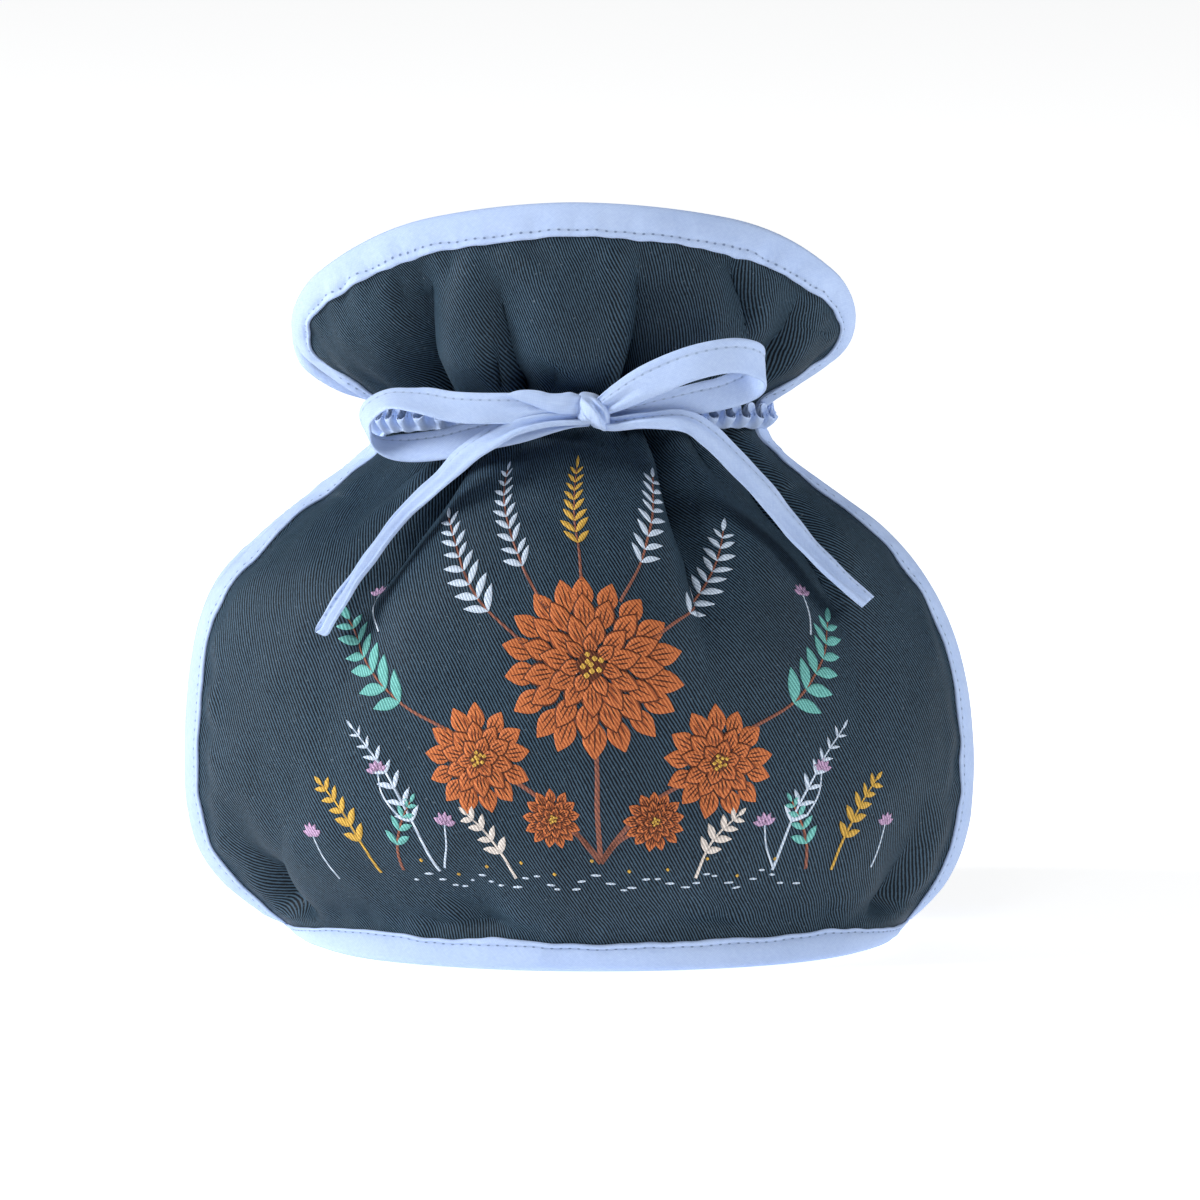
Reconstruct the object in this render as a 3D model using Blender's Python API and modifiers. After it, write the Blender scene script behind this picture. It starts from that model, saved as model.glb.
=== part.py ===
"""Gathered tea cosy: two padded twill panels with bound edges, joined round the hem and drawn in at the neck.

The cosy stands on its hem as it does over a pot. The front faces -Y and the spout side is -X. The panels
part at both sides for the spout and the handle, and open above the neck as a flared collar. Metres, +Z up,
with the origin under the middle of the whole, on the surface that it rests on. Tables are in millimetres.
"""

import math

import bmesh
import bpy
import numpy as np
from mathutils import Matrix

MM = 0.001

# Driving sizes, in millimetres.
CLOTH_HALF_WIDTH = 138.0  # half of a panel's flat width
CLOTH_HEIGHT = 235.0  # a panel's flat height, from the hem's edge to the collar's rim
NECK = 172.0  # height up the flat cloth at which the neck is drawn in
CORNER_ACROSS = 84.0  # the collar's rounded corners, across and up the flat cloth
CORNER_UP = 45.0
PAD_THICK = 4.4  # a panel's full thickness, with its wadding
EDGE_THICK = 2.0  # and where its binding, its hem or the neck presses it flat
BINDING_WIDTH = 8.3  # how far the bindings of the sides and the rim reach in from the cloth's edge
HEM_WIDTH = 6.8  # the same for the hem's, in front and behind
HEM_WIDTH_AT_ENDS = 4.6  # and where it passes from one panel to the other
BINDING_THICK = 0.8
CLEAR = 0.5  # between sewn pieces
TURN = BINDING_THICK + CLEAR  # how far a binding's fold stands out past the cloth's edge
BAND_HEIGHT = 7.4  # the ruched band round the neck
BAND_DROP = 1.5
RUCHE = 6.4  # from one crest of its ruching to the next
RUCHE_STEPS = 4
BAND_REACH = 0.667  # how far the ruched band comes round over each half of the front, as a share of that half
TAPE_WIDTH = 9.2
TAPE_THICK = 1.3

# Sections of the front panel, a row for each height up the flat cloth:
# up the cloth, height at the middle and at the left and right edges, x of those edges, how far the middle
# stands out from the centre plane, half of the side gap at left and right, the angle that each half wraps
# round, and how boxy the wrap is (1 for round).
COLUMNS = (
    *("up", "z_mid", "z_left", "z_right", "x_left", "x_right", "depth"),
    *("gap_left", "gap_right", "wrap_left", "wrap_right", "boxy"),
)
FRONT_SECTIONS = (
    (0, 1.5, 1.5, 1.5, -73.2, 83.4, 67.6, 2.0, 2.0, 82, 84, 0.66),
    (3, 4.5, 2.9, 3.4, -76.2, 85.9, 67.9, 2.2, 2.2, 74, 80, 0.72),
    (7, 8.2, 4.8, 6.0, -79.8, 89.0, 68.6, 2.5, 2.6, 64, 74, 0.82),
    (12, 12.6, 7.2, 9.4, -84.2, 92.7, 70.4, 2.8, 3.0, 57, 69, 0.93),
    (18, 18.0, 10.6, 13.8, -89.2, 96.5, 72.8, 3.0, 3.6, 53, 66, 1),
    (25, 24.2, 15.2, 20.0, -94.2, 99.7, 75.2, 3.4, 4.8, 52, 64, 1),
    (34, 32.6, 22.6, 28.3, -99.2, 102.2, 77.8, 4.0, 6.4, 54, 65, 1),
    (46, 44.0, 33.8, 39.4, -102.2, 103.4, 80.4, 5.0, 8.4, 56, 67, 1),
    (60, 57.4, 46.4, 51.2, -102.8, 103.4, 82.0, 6.4, 9.0, 58, 68, 1),
    (76, 72.4, 61.2, 67.4, -102.3, 101.6, 81.8, 8.0, 8.4, 58, 68, 1),
    (92, 87.0, 76.8, 82.8, -100.4, 97.2, 79.0, 10.4, 8.2, 59, 68, 1),
    (108, 100.2, 91.8, 97.2, -95.4, 89.4, 73.0, 12.8, 8.8, 61, 69, 1),
    (122, 110.6, 102.4, 107.8, -86.0, 80.0, 65.0, 12.6, 8.4, 64, 71, 1),
    (134, 118.8, 110.6, 114.8, -77.0, 70.4, 57.0, 8.6, 6.4, 68, 74, 1),
    (144, 125.4, 116.6, 120.6, -68.2, 62.0, 50.4, 5.4, 4.6, 72, 77, 1),
    (151, 130.0, 120.8, 124.6, -61.6, 56.4, 46.0, 4.0, 3.8, 76, 79, 1),
    (158, 134.4, 125.6, 128.8, -55.4, 51.6, 42.0, 3.4, 3.4, 78, 80, 1),
    (165, 138.8, 131.4, 133.4, -51.6, 48.4, 38.8, 3.4, 3.4, 78, 80, 1),
    (172, 143.6, 137.4, 138.0, -50.2, 46.8, 37.0, 3.4, 3.4, 78, 80, 1),
    (177, 147.6, 142.0, 142.4, -53.0, 49.8, 38.4, 3.4, 3.4, 77, 79, 1),
    (183, 152.6, 146.8, 147.0, -60.0, 56.4, 42.0, 4.0, 4.0, 69, 76, 1),
    (190, 158.8, 152.0, 151.8, -67.4, 63.4, 45.6, 4.6, 4.6, 63, 73, 1),
    (201, 168.6, 158.2, 158.0, -73.8, 70.8, 47.6, 5.2, 5.2, 61, 72, 1),
    (212, 178.6, 165.0, 164.8, -77.4, 74.6, 47.0, 5.6, 5.6, 60, 72, 1),
    (222, 187.6, 170.6, 170.4, -78.8, 76.2, 45.0, 6.0, 6.0, 60, 72, 1),
    (229, 193.8, 172.0, 171.8, -80.0, 77.4, 43.4, 6.0, 6.0, 60, 72, 1),
    (235, 199.1, 171.6, 171.4, -82.0, 80.0, 41.6, 6.0, 6.0, 60, 72, 1),
)
# The back panel: left and right are still -X and +X, and its middle stands out towards +Y.
BACK_SECTIONS = (
    (0, 1.5, 1.5, 1.5, -73.2, 83.4, 67.6, 2.0, 2.0, 82, 84, 0.66),
    (3, 4.5, 2.9, 3.4, -76.2, 85.9, 67.9, 2.2, 2.2, 74, 80, 0.72),
    (7, 8.2, 4.8, 6.0, -79.8, 89.0, 68.6, 2.5, 2.6, 64, 74, 0.82),
    (12, 12.6, 7.2, 9.4, -84.2, 92.7, 70.4, 2.8, 3.0, 62, 71, 0.93),
    (18, 18.0, 10.6, 13.8, -88.4, 95.7, 72.8, 3.0, 3.6, 58, 68, 1),
    (25, 24.2, 15.2, 20.0, -93.4, 98.9, 75.2, 3.4, 4.8, 57, 66, 1),
    (34, 32.6, 22.6, 28.3, -98.4, 101.4, 77.8, 4.0, 6.4, 59, 67, 1),
    (46, 44.0, 33.8, 39.4, -101.4, 102.6, 80.4, 5.0, 8.4, 61, 69, 1),
    (60, 57.4, 46.4, 51.2, -102.4, 102.4, 82.0, 6.4, 9.0, 62, 69, 1),
    (76, 72.4, 61.4, 67.4, -102.2, 100.4, 81.8, 8.0, 8.4, 62, 69, 1),
    (92, 87.0, 77.4, 82.6, -100.0, 95.4, 79.0, 10.4, 8.2, 62, 69, 1),
    (108, 100.2, 90.6, 96.0, -94.6, 86.8, 72.8, 12.8, 8.8, 64, 70, 1),
    (122, 110.6, 100.6, 104.6, -85.4, 76.0, 64.6, 12.6, 8.4, 67, 72, 1),
    (134, 118.8, 108.8, 112.2, -76.0, 67.2, 56.6, 8.6, 6.4, 70, 74, 1),
    (144, 125.4, 115.6, 118.8, -67.6, 60.2, 50.0, 5.4, 4.6, 74, 77, 1),
    (151, 130.0, 120.2, 123.4, -61.2, 55.2, 45.6, 4.0, 3.8, 77, 79, 1),
    (158, 134.4, 125.4, 128.0, -55.4, 50.8, 41.6, 3.4, 3.4, 78, 80, 1),
    (165, 138.6, 131.8, 133.2, -51.8, 48.2, 38.4, 3.4, 3.4, 78, 80, 1),
    (172, 142.6, 137.4, 138.0, -50.2, 46.6, 36.6, 3.4, 3.4, 78, 80, 1),
    (177, 146.2, 141.8, 142.2, -53.6, 49.6, 37.6, 3.4, 3.4, 77, 79, 1),
    (183, 150.4, 144.6, 145.6, -62.0, 56.0, 40.4, 4.0, 4.0, 71, 76, 1),
    (190, 155.2, 148.4, 149.8, -69.0, 62.4, 43.0, 4.6, 4.6, 67, 74, 1),
    (201, 162.2, 154.6, 155.6, -74.2, 69.2, 44.8, 5.2, 5.2, 65, 73, 1),
    (212, 169.0, 160.8, 161.6, -76.8, 72.8, 44.8, 5.6, 5.6, 65, 73, 1),
    (222, 175.4, 165.6, 166.6, -78.0, 74.2, 43.6, 6.0, 6.0, 65, 73, 1),
    (229, 179.8, 167.4, 168.4, -79.0, 75.4, 42.4, 6.0, 6.0, 65, 73, 1),
    (235, 183.8, 167.4, 168.6, -80.6, 77.6, 41.0, 6.0, 6.0, 65, 73, 1),
)

# Pleats that the neck draws in. Each is a valley: where it crosses the neck as a share of the half width,
# its depth, how far it runs and how far it has moved across by its end, below the neck and then above it,
# and its half width on its left and right flanks at the neck, in flat millimetres.
PLEAT_COLUMNS = (
    *("at", "depth_down", "run_down", "move_down"),
    *("depth_up", "run_up", "move_up", "left", "right"),
)
FRONT_PLEATS = (
    (-0.80, 4.0, 30, -0.02, 3.6, 26, -0.05, 10, 10),
    (-0.56, 5.4, 50, -0.08, 9.0, 74, 0.14, 15, 8),
    (-0.24, 9.0, 92, -0.27, 7.4, 44, 0.10, 10, 12),
    (-0.04, 3.4, 16, 0.00, 3.6, 16, 0.00, 8, 8),
    (0.18, 4.0, 24, 0.02, 8.0, 64, -0.04, 8, 13),
    (0.38, 10.0, 70, -0.07, 4.4, 22, 0.04, 8, 13),
    (0.62, 8.0, 90, -0.04, 7.0, 52, -0.04, 13, 9),
    (0.80, 4.4, 30, 0.02, 4.6, 34, 0.00, 10, 10),
)
BACK_PLEATS = (
    (-0.78, 4.4, 34, -0.02, 4.0, 28, 0.02, 10, 10),
    (-0.50, 7.4, 70, -0.06, 6.4, 50, 0.06, 12, 10),
    (-0.27, 4.4, 26, 0.02, 4.0, 22, -0.02, 9, 9),
    (-0.05, 8.4, 80, -0.10, 7.6, 60, 0.05, 10, 13),
    (0.20, 4.4, 24, 0.02, 4.0, 20, 0.02, 9, 9),
    (0.42, 8.0, 66, 0.08, 6.4, 46, -0.05, 12, 10),
    (0.64, 5.4, 44, 0.04, 6.8, 54, 0.02, 10, 10),
    (0.81, 4.2, 28, 0.02, 4.0, 26, 0.00, 10, 10),
)
# Pinches that the hem draws in: where each is as a share of the half width, its depth, how far up it runs,
# and its half width on its left and right flanks.
PINCH_COLUMNS = ("at", "depth", "run", "left", "right")
FRONT_PINCHES = (
    (-0.85, 12.0, 44, 11, 6),
    (-0.27, 4.8, 30, 14, 8),
    (0.30, 2.4, 22, 14, 14),
    (0.80, 7.0, 46, 9, 16),
)
BACK_PINCHES = (
    (-0.78, 7.0, 46, 14, 10),
    (-0.34, 3.8, 30, 12, 12),
    (0.12, 4.2, 32, 10, 14),
    (0.74, 7.0, 46, 10, 15),
)
PLEAT_START = 8.0  # how far from the neck a pleat takes its own depth
PLEAT_FADE = 0.3  # how far past its run a pleat dies away, as a share of it
PLEAT_SPREAD = 0.9  # how much wider it grows over its run
PINCH_START = 5.0
PINCH_SPREAD = 0.8
HELD_NEAR_NECK = 30.0  # the folds are held off the cloth's sides, and further off them this near the neck
HELD_AT_NECK = 20.0
HELD_AT_SIDE = 10.0
HELD_EASE = 19.0
HELD_AT_RIM = 16.0
PUFF_START = 2.6  # the wadding fills out from here past a binding's inner edge
PUFF_EASE = 9.0
NECK_PRESSED = 4.0  # how far each side of the neck the cloth is pressed flat, and eases out past that
NECK_EASE = 13.0
PANELS = {
    "front": {
        "facing": -1.0,
        "sections": FRONT_SECTIONS,
        "pleats": FRONT_PLEATS,
        "pinches": FRONT_PINCHES,
        "columns": 43,
    },
    "back": {
        "facing": 1.0,
        "sections": BACK_SECTIONS,
        "pleats": BACK_PLEATS,
        "pinches": BACK_PINCHES,
        "columns": 39,
    },
}
# The flat places of a panel's mesh: distances in from each side, and heights up.
SIDE_STEPS = (0, 1, 3.2, 7, 12, 18, 25)
PANEL_ROWS = (
    *(0, 4, 8, 13, 19, 26, 35, 47, 62, 80, 98, 115, 128, 139, 149),
    *(157, 163, 168, 172, 177, 183, 191, 202, 214, 225, 235),
)

# The tape's route in the bow, a row for each point: x, y, z, the turn of its outer face from the front
# towards -X in degrees, how far that face tips up, and its width there as a share. Loops start and end in
# the knot, tails and leads start there.
LEFT_LOOP = (
    (3.0, -48.6, 146.4, 0, 0, 0.50),
    (-5.0, -50.0, 147.2, 0, 0, 0.62),
    (-12.6, -51.0, 147.4, 0, 0, 0.82),
    (-23.2, -51.4, 147.6, 2, 4, 0.98),
    (-33.8, -50.0, 147.9, 10, 10, 1),
    (-43.1, -46.6, 148.6, 24, 26, 1),
    (-51.0, -41.6, 147.2, 46, 34, 1),
    (-55.6, -37.6, 142.4, 66, 10, 1),
    (-53.9, -36.4, 136.8, 96, -40, 1),
    (-47.0, -38.0, 134.8, 160, -42, 1),
    (-36.4, -41.0, 136.0, 180, -38, 1),
    (-25.8, -44.0, 139.0, 182, -30, 1),
    (-15.2, -46.2, 141.4, 180, -16, 0.90),
    (-6.0, -46.6, 143.0, 180, 0, 0.62),
    (3.0, -45.4, 144.0, 180, 0, 0.40),
)
RIGHT_LOOP = (
    (5.0, -48.8, 146.4, 0, 0, 0.50),
    (11.3, -51.2, 150.4, 0, 0, 0.80),
    (19.2, -53.8, 155.1, 0, 2, 0.98),
    (29.8, -55.6, 159.7, 0, 4, 1),
    (39.9, -54.0, 161.6, -10, 4, 1),
    (46.2, -50.0, 160.2, -46, 4, 1),
    (48.8, -45.4, 157.0, -90, 4, 1),
    (45.7, -42.6, 153.0, -140, 6, 1),
    (38.3, -44.0, 150.2, -172, 10, 1),
    (29.8, -46.4, 148.8, -180, 14, 0.96),
    (20.5, -47.6, 147.0, -180, 10, 0.80),
    (12.0, -47.0, 144.8, -180, 4, 0.62),
    (5.0, -45.2, 144.6, -180, 0, 0.40),
)
LEFT_TAIL = (
    (5.0, -47.6, 144.4, 0, 0, 0.40),
    (-1.4, -50.4, 144.4, 8, 30, 0.42),
    (-9.9, -51.6, 144.0, 13, 37, 0.50),
    (-17.1, -52.0, 142.3, 14, 36, 0.66),
    (-23.2, -51.8, 139.1, 18, 43, 0.80),
    (-29.5, -51.4, 134.7, 25, 48, 0.84),
    (-35.9, -52.0, 128.4, 34, 51, 0.84),
    (-45.2, -52.4, 119.9, 49, 50, 0.80),
    (-52.1, -55.9, 111.8, 62, 43, 0.78),
    (-57.6, -59.0, 104.2, 63, 37, 0.78),
    (-62.9, -60.7, 96.4, 60, 30, 0.80),
    (-67.4, -60.8, 88.7, 58, 21, 0.80),
)
RIGHT_TAIL = (
    (4.6, -47.4, 143.4, 0, 0, 0.40),
    (9.1, -50.0, 142.8, -12, 30, 0.42),
    (17.9, -51.2, 144.0, -15, 40, 0.52),
    (28.0, -50.6, 143.8, -16, 38, 0.74),
    (34.6, -49.0, 139.6, -17, 36, 0.80),
    (41.2, -47.6, 133.0, -17, 38, 0.80),
    (48.4, -46.6, 125.2, -17, 43, 0.80),
    (54.2, -46.4, 117.9, -20, 45, 0.80),
    (60.8, -47.0, 110.0, -29, 43, 0.80),
    (68.5, -48.4, 102.3, -38, 37, 0.80),
    (76.2, -48.0, 95.4, -46, 29, 0.80),
)
LEFT_LEAD = (
    (3.0, -45.4, 143.4, 0, 0, 0.40),
    (-4.0, -42.2, 143.2, 6, 0, 0.60),
    (-12.0, -40.0, 142.6, 14, 0, 0.80),
    (-20.6, -36.4, 142.0, 28, 0, 0.84),
)
RIGHT_LEAD = (
    (5.0, -45.4, 143.4, 0, 0, 0.40),
    (10.0, -42.0, 143.2, -6, 0, 0.60),
    (15.0, -39.4, 142.8, -16, 0, 0.80),
    (21.0, -35.6, 142.2, -30, 0, 0.84),
)
KNOT_MIDDLE = (4.4, -47.6, 145.0)
KNOT_REACH = (5.6, 4.4, 4.8)
KNOT_TILT = math.radians(38)

# Colours of the sub-parts as linear RGB, with their roughness.
TWILL = ("twill", (0.033, 0.058, 0.088), 0.9)
TRIM = ("trim", (0.50, 0.63, 0.88), 0.85)


def clear_scene():
    for thing in list(bpy.data.objects):
        bpy.data.objects.remove(thing)


def new_collection(name):
    group = bpy.data.collections.new(name)
    bpy.context.scene.collection.children.link(group)
    return group


def cloth_material(finish):
    """The material of one cloth, made once and then shared."""
    name, colour, roughness = finish
    material = bpy.data.materials.get(name)
    if material is None:
        material = bpy.data.materials.new(name)
        material.use_nodes = True
        shader = material.node_tree.nodes["Principled BSDF"]
        shader.inputs["Base Color"].default_value = (*colour, 1.0)
        shader.inputs["Roughness"].default_value = roughness
        shader.inputs["Metallic"].default_value = 0.0
    return material


def column(rows, names, name):
    return np.array([row[names.index(name)] for row in rows], float)


def smooth_between(at, values, where):
    """Values on a smooth curve through a table's rows, carried straight on past its ends."""
    slopes = np.gradient(values, at)
    asked = where
    where = np.clip(where, at[0], at[-1])
    beyond = (asked - where) * np.where(asked < where, slopes[0], slopes[-1])
    k = np.clip(np.searchsorted(at, where, side="right") - 1, 0, len(at) - 2)
    step = at[k + 1] - at[k]
    t = (where - at[k]) / step
    through = values[k] * (1 + 2 * t) * (1 - t) ** 2 + values[k + 1] * t * t * (3 - 2 * t)
    bend = slopes[k] * t * (1 - t) ** 2 - slopes[k + 1] * t * t * (1 - t)
    return beyond + through + step * bend


def ease(t):
    t = np.clip(t, 0, 1)
    return t * t * (3 - 2 * t)


def corner_top(x):
    """How far up the flat cloth reaches at x across it, with the collar's rounded corners."""
    inside = np.clip((np.abs(x) - (CLOTH_HALF_WIDTH - CORNER_ACROSS)) / CORNER_ACROSS, 0, 1)
    return CLOTH_HEIGHT - CORNER_UP * (1 - np.sqrt(1 - inside**2))


def smooth_form(panel, x, up):
    """The panel's form without its pleats, at flat places x across and up, as points in millimetres."""
    rows = panel["sections"]
    at = column(rows, COLUMNS, "up")
    section = {name: smooth_between(at, column(rows, COLUMNS, name), up) for name in COLUMNS[1:]}
    share = np.abs(x) / CLOTH_HALF_WIDTH
    left = x < 0
    wrap = np.radians(np.where(left, section["wrap_left"], section["wrap_right"]))
    gap = np.where(left, section["gap_left"], section["gap_right"])
    z_side = np.where(left, section["z_left"], section["z_right"])
    middle = (section["x_left"] + section["x_right"]) / 2
    reach = (section["x_right"] - section["x_left"]) / 2
    round_out = (np.cos(share * wrap) - np.cos(wrap)) / (1 - np.cos(wrap))
    out = np.clip(round_out, 1e-4, 1) ** section["boxy"]
    return np.stack(
        [
            middle + np.sign(x) * reach * np.sin(share * wrap) / np.sin(wrap),
            panel["facing"] * (gap + (section["depth"] - gap) * out),
            section["z_mid"] + (z_side - section["z_mid"]) * share**2.2,
        ],
        axis=-1,
    )


def valley(distance, left, right):
    """A fold's cross-section: 1 along its line, with a tight bottom and flanks that die away."""
    t = np.abs(distance) / np.where(distance < 0, left, right)
    return np.exp(-(t**1.5))


def pleat_depth(pleat, share, up):
    """How far one of the neck's pleats sinks the cloth."""
    below = up < NECK
    away = np.abs(up - NECK)
    run = np.where(below, pleat["run_down"], pleat["run_up"])
    move = np.where(below, pleat["move_down"], pleat["move_up"])
    deepest = max(pleat["depth_down"], pleat["depth_up"])
    depth = np.where(below, pleat["depth_down"], pleat["depth_up"])
    depth = deepest + (depth - deepest) * ease(away / PLEAT_START)
    gone = np.clip(away / run, 0, 1 + PLEAT_FADE)
    wider = 1 + PLEAT_SPREAD * gone
    line = pleat["at"] + move * np.clip(gone, 0, 1)
    across = (share - line) * CLOTH_HALF_WIDTH
    fading = 1 - ease(gone / (1 + PLEAT_FADE))
    return depth * fading * valley(across, pleat["left"] * wider, pleat["right"] * wider)


def pinch_depth(pinch, share, up):
    """How far one of the hem's pinches sinks the cloth."""
    rise = up - HEM_WIDTH
    across = (share - pinch["at"]) * CLOTH_HALF_WIDTH
    wider = 1 + PINCH_SPREAD * np.clip(rise / pinch["run"], 0, 1)
    strength = ease(rise / PINCH_START) * (1 - ease((rise - PINCH_START) / pinch["run"]))
    return pinch["depth"] * strength * valley(across, pinch["left"] * wider, pinch["right"] * wider)


def fold_depth(panel, x, up):
    """How far the pleats and pinches sink the cloth below its smooth form, held flat along its bindings."""
    share = x / CLOTH_HALF_WIDTH
    sunk = np.zeros_like(share)
    for row in panel["pleats"]:
        sunk += pleat_depth(dict(zip(PLEAT_COLUMNS, row, strict=True)), share, up)
    for row in panel["pinches"]:
        sunk += pinch_depth(dict(zip(PINCH_COLUMNS, row, strict=True)), share, up)
    from_side = CLOTH_HALF_WIDTH - np.abs(x)
    held_side = np.where(np.abs(up - NECK) < HELD_NEAR_NECK, HELD_AT_NECK, HELD_AT_SIDE)
    held = ease((from_side - held_side) / HELD_EASE)
    return sunk * held * ease((corner_top(x) - up - BINDING_WIDTH) / HELD_AT_RIM)


def normal_of(form, x, up, step=0.6):
    """The outward unit normal of a form at flat places."""
    across = form(x + step, up) - form(x - step, up)
    along = form(x, up + step) - form(x, up - step)
    normal = np.cross(across, along)
    return normal / np.linalg.norm(normal, axis=-1, keepdims=True)


def outward(panel, normal):
    return normal * -panel["facing"]


def cloth(panel, x, up):
    """The middle of the panel's thickness, pleats included."""

    def form(x, up):
        return smooth_form(panel, x, up)

    sunk = fold_depth(panel, x, up)
    return form(x, up) - outward(panel, normal_of(form, x, up)) * sunk[..., None]


def cloth_normal(panel, x, up):
    return outward(panel, normal_of(lambda x, up: cloth(panel, x, up), x, up))


def run_from_start(points):
    """The distance along each column of points from its first one."""
    steps = np.linalg.norm(np.diff(points, axis=0), axis=-1)
    return np.concatenate([np.zeros((1, steps.shape[1])), np.cumsum(steps, axis=0)])


def thickness(points, up):
    """A grid's thickness: pressed flat under the bindings and at the neck, and full between."""
    columns = points.transpose(1, 0, 2)
    from_side = np.minimum(run_from_start(points), run_from_start(points[::-1])[::-1])
    from_end = np.minimum(run_from_start(columns).T, run_from_start(columns[::-1])[::-1].T)
    from_edge = from_side * from_end / np.maximum(np.hypot(from_side, from_end), 0.01)
    off_edge = ease((from_edge - BINDING_WIDTH - PUFF_START) / PUFF_EASE)
    off_neck = ease((np.abs(up - NECK) - NECK_PRESSED) / NECK_EASE)
    return EDGE_THICK + (PAD_THICK - EDGE_THICK) * off_edge * off_neck


def mesh_object(name, group, finish, points, faces):
    """A named object from points in millimetres, its normals set to face out."""
    mesh = bpy.data.meshes.new(name)
    mesh.from_pydata([tuple(p) for p in np.asarray(points, float) * MM], [], faces)
    body = bmesh.new()
    body.from_mesh(mesh)
    bmesh.ops.recalc_face_normals(body, faces=body.faces)
    body.to_mesh(mesh)
    body.free()
    thing = bpy.data.objects.new(name, mesh)
    thing.data.materials.append(cloth_material(finish))
    mesh.shade_smooth()
    group.objects.link(thing)
    return thing


def loft(name, group, finish, rings, closed=False):
    """A solid through rings of equally many points, capped at its ends or joined round into a ring."""
    rings = np.asarray(rings, float)
    count, sides = rings.shape[:2]
    faces = []
    for i in range(count if closed else count - 1):
        after = (i + 1) % count
        for j in range(sides):
            k = (j + 1) % sides
            faces.append((i * sides + j, i * sides + k, after * sides + k, after * sides + j))
    if not closed:
        faces += [tuple(range(sides)), tuple((count - 1) * sides + j for j in reversed(range(sides)))]
    return mesh_object(name, group, finish, rings.reshape(-1, 3), faces)


def flat_grid(columns):
    """Flat places over a panel, closer together towards its sides, its hem and the neck: x across, and up."""
    side = CLOTH_HALF_WIDTH - np.array(SIDE_STEPS, float)
    between = np.linspace(-side[-1], side[-1], columns - 2 * len(SIDE_STEPS) + 2)
    across = np.concatenate([-side[:-1], between, side[-2::-1]])
    x, row = np.meshgrid(across, np.array(PANEL_ROWS, float), indexing="ij")
    squeezed = NECK + (row - NECK) * (corner_top(x) - NECK) / (CLOTH_HEIGHT - NECK)
    return x, np.where(row > NECK, squeezed, row)


def make_panel(name, side, group):
    """One padded panel: an open surface laid out on its flat cloth, thickened by its wadding."""
    panel = PANELS[side]
    columns = panel["columns"]
    x, up = flat_grid(columns)
    points = cloth(panel, x, up)
    rows = len(PANEL_ROWS)
    faces = [
        (i * rows + j, (i + 1) * rows + j, (i + 1) * rows + j + 1, i * rows + j + 1)
        for i in range(columns - 1)
        for j in range(rows - 1)
    ]
    thing = mesh_object(name, group, TWILL, points.reshape(-1, 3), faces)
    full = thing.vertex_groups.new(name="wadding")
    for index, thick in enumerate(thickness(points, up).reshape(-1)):
        full.add([index], float(thick / PAD_THICK), "REPLACE")
    shell = thing.modifiers.new("wadding", "SOLIDIFY")
    shell.thickness = PAD_THICK * MM
    shell.offset = 0.0
    shell.vertex_group = "wadding"
    shell.thickness_vertex_group = 0.0
    return thing


def outline(columns):
    """Flat places round a panel's bound edge, from -X over the rim to +X, and their inward ways."""
    x, up = flat_grid(columns)
    start = HEM_WIDTH_AT_ENDS + CLEAR + 0.1
    side = np.stack([x[0], up[0]], axis=1)[up[0] > start]
    side = np.vstack([[-CLOTH_HALF_WIDTH, start], side])
    rim = np.stack([x[1:-1, -1], up[1:-1, -1]], axis=1)
    places = np.vstack([side, rim, side[::-1] * (-1, 1)])
    inner = CLOTH_HALF_WIDTH - CORNER_ACROSS
    across = np.clip((np.abs(places[:, 0]) - inner) / CORNER_ACROSS, 0, 1)
    to_middle = -np.sign(places[:, 0]) * across / CORNER_ACROSS
    ways = np.stack([to_middle, -np.sqrt(1 - across**2) / CORNER_UP], axis=1)
    return places, ways / np.linalg.norm(ways, axis=1, keepdims=True)


def along(values, run, distances):
    """Rows of values at the given distances along their run."""
    return np.stack([np.interp(distances, run, values[:, k]) for k in range(3)], axis=1)


def inset(panel, place, way, distances):
    """Points and normals at real distances in from the cloth's edge, and the unit vector inwards there."""
    flat = np.arange(0, 41)
    x, up = place[0] + way[0] * flat, place[1] + way[1] * flat
    points, normals = cloth(panel, x, up), cloth_normal(panel, x, up)
    run = np.concatenate([[0], np.cumsum(np.linalg.norm(np.diff(points, axis=0), axis=1))])
    inward = points[1] - points[0]
    inward /= np.linalg.norm(inward)
    points = along(points, run, distances)
    normals = along(normals, run, distances)
    return points, normals / np.linalg.norm(normals, axis=1, keepdims=True), inward


def folded_section(points, normals, inward):
    """The closed section of a binding folded over an edge, clear of the cloth: both leaves and the fold."""
    inside = EDGE_THICK / 2 + CLEAR
    outside = inside + BINDING_THICK
    fold, gap = points[0] - inward * TURN, points[0] - inward * CLEAR
    outer = np.concatenate([[fold], points[1:]])
    inner = np.concatenate([[gap], points[1:]])
    return np.concatenate(
        [
            (outer + normals * outside)[::-1],
            outer - normals * outside,
            (inner - normals * inside)[::-1],
            inner + normals * inside,
        ]
    )


def make_edge_binding(name, side, group):
    """The binding up one side of a panel, over the collar's rim and down the other side."""
    panel = PANELS[side]
    leaf = (0, BINDING_WIDTH / 2, BINDING_WIDTH)
    rings = []
    for place, way in zip(*outline(panel["columns"]), strict=True):
        rings.append(folded_section(*inset(panel, place, way, leaf)))
    return loft(name, group, TRIM, rings)


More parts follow.
